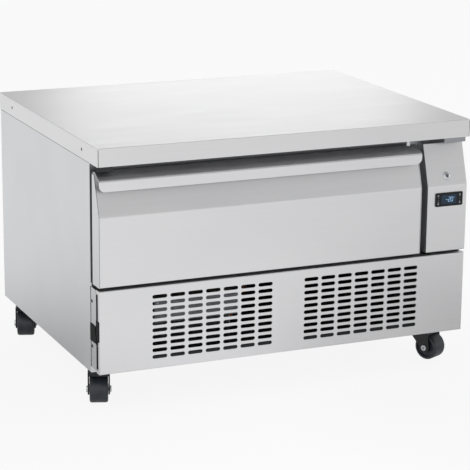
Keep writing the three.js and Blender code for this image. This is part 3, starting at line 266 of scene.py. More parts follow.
side_bead = {"inner": 447.8, "outer": 449.4, "front": -293, "back": 347, "below": 1.4, "above": 0.1}
# Painted shade: dark beads in the joints under the apron at both sides.
beads = bmesh.new()
for side in (-1, 1):
    box_mesh(beads, (side * side_bead["inner"], side_bead["front"], top["low"] - side_bead["below"]),
             (side * side_bead["outer"], side_bead["back"], top["low"] + side_bead["above"]))
fit(new_object(beads, "apron_side_shade_beads"), shade_sealant, "cabinet", "gasket_rubber")


# Screws of the worktop
# Two small stainless socket screws hold each side of the apron. Their heads sit in holes in the sheet.
# The turned heads' colour is painted dark grey, a painted reflection of the dark side of the room, which gives
# the eye small dark grey dots.
dark_painted_screw_steel, tree, shader = new_material("stainless_screw_painted_dark", Metallic=1.0, Roughness=0.3)
surface(tree, shader, blotches(tree, 2.0), ("#303134", "#444548"))


def screw_head(bm, at, outward, radius=3.0, rise=0.6):
    """A low round head with a round socket, facing outward."""
    turn = Vector(outward).to_track_quat("Z", "Y").to_matrix().to_4x4()
    profile = [(0, -rise), (radius * 0.45, -rise), (radius * 0.5, rise * 0.7), (radius * 0.8, rise * 0.6),
               (radius, 0), (radius, -rise * 2), (0, -rise * 2)]
    turned_mesh(bm, profile, 20, Matrix.Translation(Vector(at) * MM) @ turn)


heads = bmesh.new()
for side, x, y in screw_places:
    screw_head(heads, (x - side * screw["sunk"], y, screw["z"]), (side, 0, 0), screw["radius"] - screw["play"])
fit(new_object(heads, "apron_screws"), dark_painted_screw_steel, "cabinet", "zinc")


# Carcass
# Folded sheet panels, screwed together: side panels, corner posts and a back panel of stainless steel, the
# frame that the drawer closes on, the inner box, and a galvanised floor that carries the casters.
def finish_nodes(material, *names):
    """Gives carried-over pieces their material."""
    for name in names:
        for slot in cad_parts[name].material_slots:
            slot.material = material


# Side panels and posts are brushed upright, so the eye sees light smeared from side to side.
upright_grain, upright_polish = (1, 1, 60), (0.4, 0.48)
side_steel = brushed_stainless("brushed_stainless_upright", "#d9dadb", "#d3d4d6", upright_grain, upright_polish)
finish_nodes(side_steel, "side_panel_left", "side_panel_right")
post_steel = brushed_stainless("brushed_stainless_posts", "#d2d3d5", "#cbccce", upright_grain, upright_polish)
finish_nodes(post_steel, "corner_post_left", "corner_post_right")

# Inner sheets have a duller mill finish, which looks like grey satin in the shade.
inner_steel = brushed_stainless("satin_stainless_inner", "#b9babd", "#adafb2", (1, 40, 1), (0.38, 0.5))
finish_nodes(inner_steel, "back_panel", "inner_liner", "evaporator_cover")

# The front frame is the same sheet. Its colour is painted darker, as painted shade for the shadow of the apron
# that it stands back in.
shaded_frame_steel = brushed_stainless("stainless_frame_painted_shade", "#a6a7ab", "#98999d", polish=(0.4, 0.5))
finish_nodes(shaded_frame_steel, "front_frame")

# Matt galvanised sheet, whose colour is painted dark as painted shade, so that it looks black through the
# panel's slots. Its tone varies in clouds some 25 mm wide.
shaded_tray_steel, tree, shader = new_material("galvanised_tray_painted_shade", Metallic=0.8)
surface(tree, shader, blotches(tree, 25.0), ("#3c3e40", "#4c4e50"), polish=(0.6, 0.75))
finish_nodes(shaded_tray_steel, "base_tray")


# Insulation
# Rigid polyurethane foam fills the space between the inner box and the outer sheets, foamed in place. A strip
# of frame steel closes it in front, under the worktop, and its colour is the frame's painted shade.
# Cut foam is matt and crumbly, and pale yellow. Its cells of 0.3 mm are drawn 3 mm wide, so that they show.
foam_material, tree, shader = new_material("cut_polyurethane_foam", Roughness=0.95)
surface(tree, shader, blotches(tree, 3.0, detail=5.0), ("#cbbf8e", "#ddd2a6"), relief=(0.8, 0.5))
finish_nodes(foam_material, "insulation_foam")
closing = {"reach": 446.5, "front": -292.6, "back": -291.4, "low": 540, "high": 593}
strip = bmesh.new()
box_mesh(strip, (-closing["reach"], closing["front"], closing["low"]),
         (closing["reach"], closing["back"], closing["high"]))
# The strip's dark colour is painted shade.
fit(new_object(strip, "foam_closing_strip"), shaded_frame_steel, "cabinet", "cabinet_steel")


# Fixings of the corner posts
# Two low round-headed screws hold each post to its side panel, and a bead of dark sealant closes the joint
# between post and panel, as painted shade for the shadow in that joint.
post_x = 448
post_screw = {"proud": 0.3, "y": -302, "heights": (148, 250), "radius": 4.0, "rise": 0.9}
heads = bmesh.new()
for side in (-1, 1):
    for z in post_screw["heights"]:
        screw_head(heads, (side * (post_x + post_screw["proud"]), post_screw["y"], z), (side, 0, 0),
                   post_screw["radius"], post_screw["rise"])
# These heads are painted dark too, as a painted reflection, like those of the worktop.
fit(new_object(heads, "post_screws"), dark_painted_screw_steel, "cabinet", "zinc")

post_bead = {"proud": 0.2, "deep": 0.8, "front": -295.2, "back": -292.0, "low": 98.5, "high": 280.5}
# Painted shade: dark beads in the joints between posts and panels.
beads = bmesh.new()
for side in (-1, 1):
    box_mesh(beads, (side * (post_x - post_bead["deep"]), post_bead["front"], post_bead["low"]),
             (side * (post_x + post_bead["proud"]), post_bead["back"], post_bead["high"]))
fit(new_object(beads, "post_shade_beads"), shade_sealant, "cabinet", "gasket_rubber")


# Brackets under the worktop
# A folded angle at each end, galvanised or stainless, carries the worktop's front edge over the drawer, and a
# turned, zinc-plated spacer keeps its height further in. All are screwed from inside.
def soften(piece, radius, segments=2, angle=40):
    """Breaks the sharp edges of a piece."""
    edges = piece.modifiers.new("edges", "BEVEL")
    edges.width, edges.segments, edges.limit_method = radius * MM, segments, "ANGLE"
    edges.angle_limit = math.radians(angle)
    apply_modifiers(piece)


bracket = {"outer": 446.5, "low": 541.5, "high": 554.0, "front": -337, "back": -294.6, "sheet": 1.5}
# Both angles are painted dark as painted shade: the left with the tray's darkened steel, the right with the
# frame's.
for name, side, length, steel in (("left", -1, 36, shaded_tray_steel), ("right", 1, 55, shaded_frame_steel)):
    outer, inner, front = side * bracket["outer"], side * (bracket["outer"] - length), bracket["front"]
    angle_bar = bmesh.new()
    box_mesh(angle_bar, (outer, front, bracket["low"]), (inner, front + bracket["sheet"], bracket["high"]))
    box_mesh(angle_bar, (outer, front, bracket["high"] - bracket["sheet"]),
             (inner, bracket["back"], bracket["high"]))
    worktop_bracket = new_object(angle_bar, "worktop_bracket_" + name)
    soften(worktop_bracket, 0.4)
    fit(worktop_bracket, steel, "cabinet", "cabinet_steel")

# Bright zinc plating is thin and slightly uneven, and gives the eye a small light spot in the shadow.
bright_zinc, tree, shader = new_material("bright_zinc_spacer", Metallic=1.0)
surface(tree, shader, blotches(tree, 2.0), ("#b4b7ba", "#cfd1d3"), blotches(tree, 1.2), (0.25, 0.4))
spacer_at = {"x": 300, "y": -332, "radius": 5, "edge": 0.6}
spacer = bmesh.new()
rod_mesh(spacer, spacer_at["radius"], (spacer_at["x"], spacer_at["y"], bracket["low"]),
         (spacer_at["x"], spacer_at["y"], bracket["high"] + 1), 24, spacer_at["edge"])
fit(new_object(spacer, "worktop_spacer"), bright_zinc, "cabinet", "zinc")


# Drawer front
# A skin of 1.2 mm stainless: upright below, leaning back above, and folded forward at the top into the handle
# lip, whose lower corners are rounded. Its ends are closed with welded plates, and dark sealant fills the
# joints as painted shade for the shadow in them.
fold = {"face": -348, "bottom": 289, "bend_z": 443, "top": 540, "back": -308, "setback": 30, "sheet": 1.2}
slope = math.atan2(fold["setback"], fold["top"] - fold["bend_z"])
half = fold["sheet"] / 2


def new_points(geometry):
    """The vertices among the geometry that an operator made."""
    return [g for g in geometry if isinstance(g, bmesh.types.BMVert)]


def front_line(top, back):
    """The middle line of a front module's skin as (y, z), from its lower back edge to its top."""
    lean = (top - fold["bend_z"]) * math.tan(slope)
    return [(back, fold["bottom"] + half), (fold["face"] + half, fold["bottom"] + half),
            (fold["face"] + half, fold["bend_z"]), (fold["face"] + lean + half / math.cos(slope), top - half)]


def folded(bm, line, left, right, bends):
    """A sheet folded along a line of (y, z) and running along x, with each inner point rounded by its bend."""
    points = [bm.verts.new((left * MM, y * MM, z * MM)) for y, z in line]
    edges = [bm.edges.new(pair) for pair in zip(points, points[1:])]
    swept = bmesh.ops.extrude_edge_only(bm, edges=edges)["geom"]
    bmesh.ops.translate(bm, verts=new_points(swept), vec=((right - left) * MM, 0, 0))
    for (y, z), bend in zip(line[1:-1], bends):
        bevel_edges(bm, lambda p, d: abs(d.x) > 0.9 and math.hypot(p.y - y, p.z - z) < 0.05, bend, 5)


def end_plate(bm, top, back, x, forward=0.0):
    """The closed end of a module at one x, as a flat face whose front edge stands forward of the skin's middle."""
    outline = [(y if y > back - 1 else y - forward, z) for y, z in front_line(top, back)]
    outline.append((back, top - half))
    bm.faces.new([bm.verts.new((x * MM, y * MM, z * MM)) for y, z in outline])


# The grain runs along the front, so the eye sees light smeared up and down, and level streaks in it.
front_steel = brushed_stainless("brushed_stainless_front", "#e2e2e3", "#dcdcde")
drawer = {"left": -448, "right": 331, "lip_break": 523, "lip_bottom": 500, "lip_corner": 14, "end_drop": 6,
          "joint": 0.8, "bead_sunk": 0.35, "bead_short": 1, "bead_play": 0.04}
skin = bmesh.new()
nose = fold["face"] + half
line = front_line(fold["top"], fold["back"]) + [(nose, drawer["lip_break"]), (nose, drawer["lip_bottom"])]
skin_inset = fold["sheet"] + drawer["joint"]
folded(skin, line, drawer["left"] + skin_inset, drawer["right"] - skin_inset, (1.6, 2.0, 2.4, 2.4))
lip_ends = [v for v in skin.verts
            if fold["bend_z"] + drawer["lip_corner"] < v.co.z / MM < drawer["lip_bottom"] + 0.1]
bmesh.ops.bevel(skin, geom=lip_ends, offset=drawer["lip_corner"] * MM, affect="VERTICES", segments=6, profile=0.5,
                material=-1)
drawer_front = new_object(skin, "drawer_front_skin")
thicken(drawer_front, fold["sheet"])
fit(drawer_front, front_steel, "drawer", "stainless", "drawer_front")

ends, beads = bmesh.new(), bmesh.new()
end_top = fold["top"] - drawer["end_drop"]
bead_inset = fold["sheet"] + drawer["joint"] / 2
for edge, inward in ((drawer["left"], 1), (drawer["right"], -1)):
    end_plate(ends, end_top, fold["back"], edge + inward * half, half)
    end_plate(beads, end_top - drawer["bead_short"], fold["back"], edge + inward * bead_inset,
              half - drawer["bead_sunk"])
end_plates = new_object(ends, "drawer_front_ends")
thicken(end_plates, fold["sheet"])
fit(end_plates, side_steel, "drawer", "stainless")
# Painted shade: dark beads in the joints between the skin and the end plates.
drawer_shade_beads = new_object(beads, "drawer_corner_shade_beads")
thicken(drawer_shade_beads, drawer["joint"] - drawer["bead_play"])
fit(drawer_shade_beads, shade_sealant, "drawer", "gasket_rubber")


# Drawer box, seal and slides
# Behind the skin come a foam core with a steel lining, a moulded vinyl seal pressed into a groove, and a folded
# tray for pans. It runs on two roll-formed telescopic slides, screwed to the tray and to the inner box.
# The lining is the same satin sheet as the inner box, a little greyer to the eye.
core_steel = brushed_stainless("satin_steel_door_lining", "#aeb0b3", "#a2a4a7", (40, 1, 1), (0.42, 0.52))
finish_nodes(core_steel, "drawer_core")
finish_nodes(inner_steel, "drawer_box")

# Soft vinyl is matt and nearly black, so the gaps round the drawer look black.
rubber, tree, shader = new_material("black_vinyl_seal", Specular_IOR_Level=0.2)
surface(tree, shader, blotches(tree, 6.0), ("#0d0e0f", "#161718"), blotches(tree, 1.5), (0.5, 0.75))
finish_nodes(rubber, "drawer_gasket")

# Bright zinc plate has a bluish white shine that is cloudy where it was handled and greased.
zinc_plate, tree, shader = new_material("bright_zinc_plate", Metallic=1.0)
surface(tree, shader, blotches(tree, 14.0), ("#b3b8bd", "#cdd1d3"), blotches(tree, 4.0), (0.22, 0.36))
for member in ("cabinet_rail", "middle_rail", "drawer_rail"):
    finish_nodes(zinc_plate, member + "_left", member + "_right")


# Control column
# A fixed column of the same 1.2 mm stainless with the same folds as the drawer front, closed at both ends. It
# is screwed to the side panel from inside, and has a window cut out for the controller.
column = {"left": 347, "right": 448, "back": -295.1}
controller = {"x": 402, "z": 412, "front": -350.0, "bezel": (71, 32), "neck": (66, 27), "lens": (40, 22),
              "corner": 3, "bezel_back": -348.3, "neck_front": -348.6, "neck_back": -300, "before": -355}


def controller_block(bm, size, near, far, corner=0):
    """A block about the controller's middle, between two depths, with its four long edges rounded."""
    x, z, reach_x, reach_z = controller["x"], controller["z"], size[0] / 2, size[1] / 2
    box_mesh(bm, (x - reach_x, near, z - reach_z), (x + reach_x, far, z + reach_z))
    if corner:
        bevel_edges(bm, lambda p, d: abs(d.y) > 0.9, corner, 5)


skin = bmesh.new()
line = front_line(fold["top"], column["back"]) + [(column["back"], fold["top"] - half)]
folded(skin, line, column["left"], column["right"], (1.6, 2.0, 2.0))
fascia = new_object(skin, "control_column_skin")
thicken(fascia, fold["sheet"])
window, through = bmesh.new(), (-360, -340)
controller_block(window, controller["neck"], *through)
cut_out(fascia, window)
fit(fascia, front_steel, "cabinet", "stainless", "control_fascia")
ends = bmesh.new()
for x in (column["left"] + half, column["right"] - half):
    end_plate(ends, fold["top"] - half, column["back"], x)
fascia_ends = new_object(ends, "control_column_ends")
thicken(fascia_ends, fold["sheet"])
fit(fascia_ends, side_steel, "cabinet", "stainless")


# Controller
# A slim electronic thermostat in a moulded housing of black ABS, clipped into the column's window. It has a
# tinted window over lit digits, and four soft keys with printed signs beside them.
# Moulded ABS has a fine spark-eroded grain of 0.1 mm, drawn 0.9 mm wide, which gives the eye a dull black.
black_plastic, tree, shader = new_material("moulded_black_plastic", Specular_IOR_Level=0.3)
surface(tree, shader, blotches(tree, 5.0), ("#0f1012", "#18191b"), blotches(tree, 0.9, detail=2.0), (0.38, 0.5),
        (0.05, 0.4))
key = {"radius": 2.2, "across": 28, "upward": 9.5, "play": 0.25, "edge": 0.4, "height": 1.1}
keys = [(level + "_" + side, controller["x"] + across * key["across"], controller["z"] + rise * key["upward"])
        for side, across in (("left", -1), ("right", 1)) for level, rise in (("upper", 1), ("lower", -1))]
recess_play, recess_depth, hole_depth = 0.6, 0.9, 2.3
bezel, recess, key_holes, neck = bmesh.new(), bmesh.new(), bmesh.new(), bmesh.new()
controller_block(bezel, controller["bezel"], controller["front"], controller["bezel_back"], controller["corner"])
housing = new_object(bezel, "controller_bezel")
controller_block(recess, [side + recess_play for side in controller["lens"]], controller["before"],
                 controller["front"] + recess_depth)
for _, x, z in keys:
    for cutter in (recess, key_holes):
        rod_mesh(cutter, key["radius"] + key["play"], (x, controller["before"], z),
                 (x, controller["front"] + hole_depth, z), 20)
cut_out(housing, recess)
soften(housing, 0.35)
fit(housing, black_plastic, "cabinet", "black_plastic", "controller_housing")
controller_block(neck, controller["neck"], controller["neck_front"], controller["neck_back"])
bevel_edges(neck, lambda p, d: True, 0.6, 2)
controller_body = new_object(neck, "controller_body")
cut_out(controller_body, key_holes)
fit(controller_body, black_plastic, "cabinet", "black_plastic")

# The window is tinted acrylic, which looks deep blue and mirrors the room sharply.
glass, tree, shader = new_material("tinted_display_window", Roughness=0.08, IOR=1.49)
surface(tree, shader, blotches(tree, 9.0), ("#0b2036", "#143752"))
lens = bmesh.new()
controller_block(lens, controller["lens"], controller["front"] + 0.3, controller["front"] + 1.2, 0.8)
fit(new_object(lens, "display_window"), glass, "cabinet", "display_blue", "display_lens")

# The digits are lit from behind by small diodes, whose light gives the eye a pale blue that isn't quite even.
lit, tree, shader = new_material("lit_display_digits", Roughness=0.4, Emission_Strength=0.6)
shader.inputs["Base Color"].default_value = linear("#7fb4e6")
surface(tree, shader, blotches(tree, 1.5), ("#9cc3e0", "#b8d8ee"), into="Emission Color")
digit = {"width": 4.8, "height": 10.0, "bar": 0.95, "gap": 2.0, "slant": 0.1}
# The bars of a digit, from one end to the other, in widths and in halves of the height, and the bars of "-20"
bars = {"a": (0, 2, 1, 2), "b": (1, 1, 1, 2), "c": (1, 0, 1, 1), "d": (0, 0, 1, 0), "e": (0, 0, 0, 1),
        "f": (0, 1, 0, 2), "g": (0, 1, 1, 1)}
shown = ("g", "abged", "abcdef")


def bar_mesh(bm, start, end, thick, near):
    """A flat six-sided bar between two points (x, z), with its face at a depth."""
    a, b = Vector(start), Vector(end)
    along = (b - a).normalized() * thick
    side = Vector((-along.y, along.x)) / 2
    inner_a, inner_b = a + along * 0.6, b - along * 0.6
    outline = [a + along * 0.1, inner_a + side, inner_b + side, b - along * 0.1, inner_b - side, inner_a - side]
    face = bm.faces.new([bm.verts.new((p.x * MM, near * MM, p.y * MM)) for p in outline])
    raised = bmesh.ops.extrude_face_region(bm, geom=[face])["geom"]
    bmesh.ops.translate(bm, verts=new_points(raised), vec=(0, 0.12 * MM, 0))


digits = bmesh.new()
digits_y = controller["front"] + 0.25
left = controller["x"] - 1.5 * digit["width"] - digit["gap"]
low, rise = controller["z"] - digit["height"] / 2, digit["height"] / 2
for place, names in enumerate(shown):
    x = left + place * (digit["width"] + digit["gap"])
    for name in names:
        ax, az, bx, bz = bars[name]
        start, end = ((x + px * digit["width"] + pz * rise * digit["slant"], low + pz * rise)
                      for px, pz in ((ax, az), (bx, bz)))
        bar_mesh(digits, start, end, digit["bar"], digits_y)
degree = {"x": left + 3 * (digit["width"] + digit["gap"]) + 2.2, "z": low + digit["height"] - 1, "radius": 0.8}
ring = [(degree["x"] + degree["radius"] * math.cos(t * math.tau / 8),
         degree["z"] + degree["radius"] * math.sin(t * math.tau / 8)) for t in range(9)]
for start, end in zip(ring, ring[1:]):
    bar_mesh(digits, start, end, 0.35, digits_y)
fit(new_object(digits, "display_digits"), lit, "cabinet", "display_blue")

# Silicone key caps are matt and light grey, with a slight mottle from the mould.
key_grey, tree, shader = new_material("grey_key_caps", Roughness=0.5)
surface(tree, shader, blotches(tree, 1.2), ("#8b9095", "#a2a7ab"))
for name, x, z in keys:
    cap = bmesh.new()
    rod_mesh(cap, key["radius"], (x, controller["front"] + key["height"], z), (x, controller["front"], z), 24,
             key["edge"])
    fit(new_object(cap, "key_" + name), key_grey, "button_" + name, "button_grey", "controller_button_" + name)

# Pad-printed ink lies on the plastic as a thin pale film, not quite covering.
printed, tree, shader = new_material("pale_printed_symbols", Roughness=0.6)
surface(tree, shader, blotches(tree, 1.0), ("#b9bdc1", "#cfd2d5"))
sign = {"y": controller["front"] - 0.1, "from_key": 4.6, "reach": 1.4, "foot": 0.7, "tip": 0.8, "line": 0.5,
        "dash": 1.5}
symbols = bmesh.new()
for side in (-1, 1):
    x = controller["x"] + side * key["across"]
    for rise in (-1, 1):
        z = controller["z"] + rise * (key["upward"] - sign["from_key"])
        foot, tip = z - rise * sign["foot"], (x, z + rise * sign["tip"])
        bar_mesh(symbols, (x - sign["reach"], foot), tip, sign["line"], sign["y"])
        bar_mesh(symbols, tip, (x + sign["reach"], foot), sign["line"], sign["y"])
    bar_mesh(symbols, (x - sign["dash"], controller["z"]), (x + sign["dash"], controller["z"]), sign["line"],
             sign["y"])
fit(new_object(symbols, "printed_symbols"), printed, "cabinet", "button_grey")


# Lock
# A cam lock of chromed zinc die-casting: a threaded body with a round collar through the column's leaning face,
# and a plug with a key slot, which turns the steel cam behind.
# Polished chrome mirrors the room with only a trace of haze. The plug's face is painted dark grey, as a painted
# reflection of dark things, which sets it off from the bright collar.
chrome, tree, shader = new_material("polished_chrome", Metallic=1.0)
surface(tree, shader, blotches(tree, 6.0), ("#c9cccf", "#dadde0"), blotches(tree, 2.0), (0.08, 0.16))
dark_painted_chrome, tree, shader = new_material("chrome_plug_painted_dark", Metallic=1.0)
surface(tree, shader, blotches(tree, 2.0), ("#5c6064", "#8b8f92"), blotches(tree, 0.8), (0.2, 0.35))
lock = {"x": 398.5, "z": 466, "back": -24, "cam_back": -27.5}
lock_y = fold["face"] + (lock["z"] - fold["bend_z"]) * math.tan(slope)
lock_place = (Matrix.Translation((lock["x"] * MM, lock_y * MM, lock["z"] * MM))
              @ Matrix.Rotation(math.radians(90) - slope, 4, "X"))
collar = bmesh.new()
turned_mesh(collar, [(4.5, lock["back"]), (6.5, lock["back"]), (6.5, 0.3), (9.0, 0.3), (9.0, 0.9), (8.4, 1.9),
                     (7.4, 2.4), (6.0, 2.4), (5.3, 1.7), (4.5, 1.7), (4.5, lock["back"])], 40, lock_place)
fit(new_object(collar, "lock_collar"), chrome, "cabinet", "chrome", "lock_body")
plug, key_slot, cam = bmesh.new(), bmesh.new(), bmesh.new()
turned_mesh(plug, [(0, lock["back"]), (4.2, lock["back"]), (4.2, 1.6), (3.8, 2.0), (0, 2.0)], 32)
lock_plug = new_object(plug, "lock_plug_face")
box_mesh(key_slot, (-0.9, -3.2, -1.6), (0.9, 3.2, 5))
cut_out(lock_plug, key_slot)
cam.from_mesh(lock_plug.data)
box_mesh(cam, (-5.5, -5.5, lock["cam_back"]), (5.5, 26, lock["back"]))
bmesh.ops.transform(cam, matrix=lock_place, verts=cam.verts)
bmesh.ops.recalc_face_normals(cam, faces=cam.faces)
cam.to_mesh(lock_plug.data)
cam.free()
# The plug's dark grey is a painted reflection.
fit(lock_plug, dark_painted_chrome, "lock_cylinder", "chrome", "lock_plug")


# Lower panel
# One sheet of 1.2 mm stainless with two fields of punched round-ended slots, returns bent back at both ends and
# flanges at the top and bottom. It hangs on a hinge at the left. How its other end latches isn't known.
# The grain is that of the drawer front, and gives the eye an even sheen between the dark slots.
panel_steel = brushed_stainless("brushed_stainless_panel", "#e2e2e3", "#dcdcde")
panel = {"x": 448, "low": 94, "high": 282, "face": -348, "return": -339, "flange": -329, "sheet": 1.2, "bend": 2,
         "tab": 9, "overlap": 0.2}
slot = {"length": 35, "height": 8.5, "columns": 7, "rows": 10, "step_x": 42, "step_z": 15.2,
        "lefts": (-326, 39), "bottom": 121, "steps": 6}


def ring_edges(bm, points):
    """The closed line through points in millimetres, as edges."""
    corners = [bm.verts.new([c * MM for c in p]) for p in points]
    return [bm.edges.new(pair) for pair in zip(corners, corners[1:] + corners[:1])]


def slot_outline(bm, left, middle, y):
    """The closed outline of one slot with round ends, as edges."""
    radius = slot["height"] / 2
    points = []
    for centre, start in ((left + slot["length"] - radius, -math.pi / 2), (left + radius, math.pi / 2)):
        for step in range(slot["steps"] + 1):
            turn = start + math.pi * step / slot["steps"]
            points.append((centre + radius * math.cos(turn), y, middle + radius * math.sin(turn)))
    return ring_edges(bm, points)


punched = bmesh.new()
half = panel["sheet"] / 2
y, reach, low, high = panel["face"] + half, panel["x"] - half, panel["low"] + half, panel["high"] - half
border = ring_edges(punched, [(-reach, y, low), (reach, y, low), (reach, y, high), (-reach, y, high)])
outlines = []
for left in slot["lefts"]:
    for column in range(slot["columns"]):
        for row in range(slot["rows"]):
            middle = slot["bottom"] + row * slot["step_z"]
            outlines += slot_outline(punched, left + column * slot["step_x"], middle, y)
bmesh.ops.triangle_fill(punched, use_beauty=True, edges=border + outlines, normal=(0, -1, 0))
swept = bmesh.ops.extrude_edge_only(punched, edges=[e for e in border if e.is_valid])["geom"]
for vertex in new_points(swept):
    vertex.co.y = panel["return"] * MM
bevel_edges(punched, lambda p, d: abs(p.y - y) < 0.01 and (
    abs(abs(p.x) - reach) < 0.01 or abs(p.z - low) < 0.01 or abs(p.z - high) < 0.01), panel["bend"], 4)
lower_panel = new_object(punched, "slotted_panel")
thicken(lower_panel, panel["sheet"])
fit(lower_panel, panel_steel, "lower_panel", "stainless", "grille_panel")

tabs = bmesh.new()
near = panel["return"] - panel["overlap"]
reach = panel["x"] - panel["sheet"]
for low, high in ((panel["low"], panel["low"] + panel["tab"]), (panel["high"] - panel["tab"], panel["high"])):
    for side in (-1, 1):
        box_mesh(tabs, (side * reach, near, low), (side * panel["x"], panel["flange"], high))
for z in (panel["low"], panel["high"] - panel["sheet"]):
    box_mesh(tabs, (-reach, near, z), (reach, panel["flange"], z + panel["sheet"]))
fit(new_object(tabs, "slotted_panel_tabs"), panel_steel, "lower_panel", "stainless")


# Hinge of the lower panel
# Two moulded nylon leaves, stepped in height so that their knuckles stand over each other on a steel pin. One
# leaf is fixed to the side of the carcass, and the other to the panel's return.
# Glass-filled nylon is deep black and matt. Its grain of 0.1 mm is drawn 1.1 mm wide, and kills the shine.
nylon_black, tree, shader = new_material("matt_black_hinge_nylon", Specular_IOR_Level=0.12)
surface(tree, shader, blotches(tree, 5.0), ("#08090a", "#101113"), blotches(tree, 1.1, detail=2.0), (0.5, 0.65),
        (0.05, 0.4))
hinge = {"x": -445.3, "y": -331, "knuckle": 4.4, "leaf": (-450, -448.3), "front": -346.8, "back": -293.3,
         "fixed": (160, 181, 199), "moving": (168, 181.3, 213), "pin": 2, "pin_low": 163, "play": 0.3, "room": 0.9}
leaf_out, leaf_in = hinge["leaf"]
fixed_low, fixed_middle, fixed_high = hinge["fixed"]
moving_low, moving_middle, moving_high = hinge["moving"]


def pin_rod(bm, radius, low, high, *steps):
    """A round rod about the hinge's axis between two heights."""
    rod_mesh(bm, radius, (hinge["x"], hinge["y"], low), (hinge["x"], hinge["y"], high), *steps)


moving, moving_rod, fixed, fixed_rod, pin = bmesh.new(), bmesh.new(), bmesh.new(), bmesh.new(), bmesh.new()
edge = hinge["y"] - hinge["knuckle"] - hinge["room"]
box_mesh(moving, (leaf_out, hinge["front"], moving_low), (leaf_in, edge, moving_high))
box_mesh(moving, (leaf_out, edge - 0.01, moving_middle), (leaf_in, hinge["y"] + hinge["play"], moving_high))
pin_rod(moving_rod, hinge["knuckle"], moving_middle, moving_high, 28, 0.5)
edge = hinge["y"] + hinge["knuckle"] + hinge["room"]
box_mesh(fixed, (leaf_out, hinge["y"] - hinge["play"], fixed_low), (leaf_in, edge, fixed_middle))
box_mesh(fixed, (leaf_out, edge - 0.01, fixed_low), (leaf_in, hinge["back"], fixed_high))
pin_rod(fixed_rod, hinge["knuckle"], fixed_low, fixed_middle, 28, 0.5)
box_mesh(fixed_rod, (leaf_in - 0.2, hinge["y"] + hinge["play"], fixed_low + 0.4),
         (hinge["x"], hinge["y"] + 4.2, fixed_middle - 0.4))
pin_rod(pin, hinge["pin"], hinge["pin_low"], moving_high + hinge["play"], 16)
moving_leaf, fixed_leaf = new_object(moving, "hinge_leaf_moving"), new_object(fixed, "hinge_leaf_fixed")
for leaf in (moving_leaf, fixed_leaf):
    soften(leaf, 0.5)
fit(moving_leaf, nylon_black, "lower_panel", "black_plastic", "hinge_moving_leaf")
fit(new_object(moving_rod, "hinge_knuckle_moving"), nylon_black, "lower_panel", "black_plastic")
fit(fixed_leaf, nylon_black, "cabinet", "black_plastic", "hinge_fixed_leaf")
fit(new_object(fixed_rod, "hinge_knuckle_fixed"), nylon_black, "cabinet", "black_plastic")
fit(new_object(pin, "hinge_pin"), zinc_plate, "cabinet", "black_plastic")


# Seals behind the lower panel
# Black strips on the corner posts, left open at the hinge, and a cross rail of galvanised sheet with a black
# seal on its face, behind the gap between the drawer and the panel. The strips on the posts are painted shade:
# they stand behind the slit between post and panel, so that it looks black.
shade_strip_size = {"outer": 446.7, "inner": 436, "front": -326.6, "back": -325.2, "low": 100, "high": 279.5}
tongue = {"outer": 444.5, "inner": 443, "front": -338.5, "back": -325.4, "low": 104, "high": 272}
hinge_low, hinge_high = 150.5, 214.5
# Painted shade: black strips behind the slits at the posts' front edges.
shade_strips = bmesh.new()
for side, low, high in ((-1, shade_strip_size["low"], hinge_low), (-1, hinge_high, shade_strip_size["high"]),
                        (1, shade_strip_size["low"], shade_strip_size["high"])):
    box_mesh(shade_strips, (side * shade_strip_size["outer"], shade_strip_size["front"], low), (side * shade_strip_size["inner"], shade_strip_size["back"], high))
    box_mesh(shade_strips, (side * tongue["outer"], tongue["front"], max(low, tongue["low"])),
             (side * tongue["inner"], tongue["back"], min(high, tongue["high"])))
fit(new_object(shade_strips, "post_shade_strips"), rubber, "cabinet", "gasket_rubber")

rail = {"reach": 446.4, "front": -326.4, "seal": 1.4, "back": -293.5, "low": 262.5, "high": 288, "sheet": 1.5}
strip, ledge = bmesh.new(), bmesh.new()
behind = rail["front"] + rail["seal"]
box_mesh(strip, (-rail["reach"], rail["front"], rail["low"]), (rail["reach"], behind, rail["high"]))
box_mesh(ledge, (-rail["reach"], behind, rail["low"]), (rail["reach"], rail["back"], rail["low"] + rail["sheet"]))
box_mesh(ledge, (-rail["reach"], behind, rail["low"]), (rail["reach"], behind + rail["sheet"], rail["high"] - 0.5))
fit(new_object(strip, "cross_rail_seal"), rubber, "cabinet", "gasket_rubber")
# The cross rail takes the tray steel's painted shade.
fit(new_object(ledge, "cross_rail"), shaded_tray_steel, "cabinet", "cabinet_steel")


# Compressor
# A hermetic compressor: a pot deep-drawn in two halves and welded round its middle, on a pressed base with rubber
# feet, with a moulded terminal cover and a copper stub for the suction line.
# Baked black enamel has run a little before it set, which gives the eye long soft highlights.
enamel, tree, shader = new_material("black_compressor_enamel", Coat_Weight=0.5, Coat_Roughness=0.15)
surface(tree, shader, blotches(tree, 30.0), ("#151618", "#212326"), blotches(tree, 6.0, (1, 1, 3)), (0.24, 0.42),
        (0.08, 0.3))
# Drawn copper tube shines warm and red, with brown stains some 20 mm long from brazing and handling.
copper, tree, shader = new_material("drawn_copper_tube", Metallic=1.0)
surface(tree, shader, blotches(tree, 20.0), ("#8f4a2c", "#c47a54"), polish=(0.24, 0.46))
finish_nodes(copper, "refrigerant_pipe")

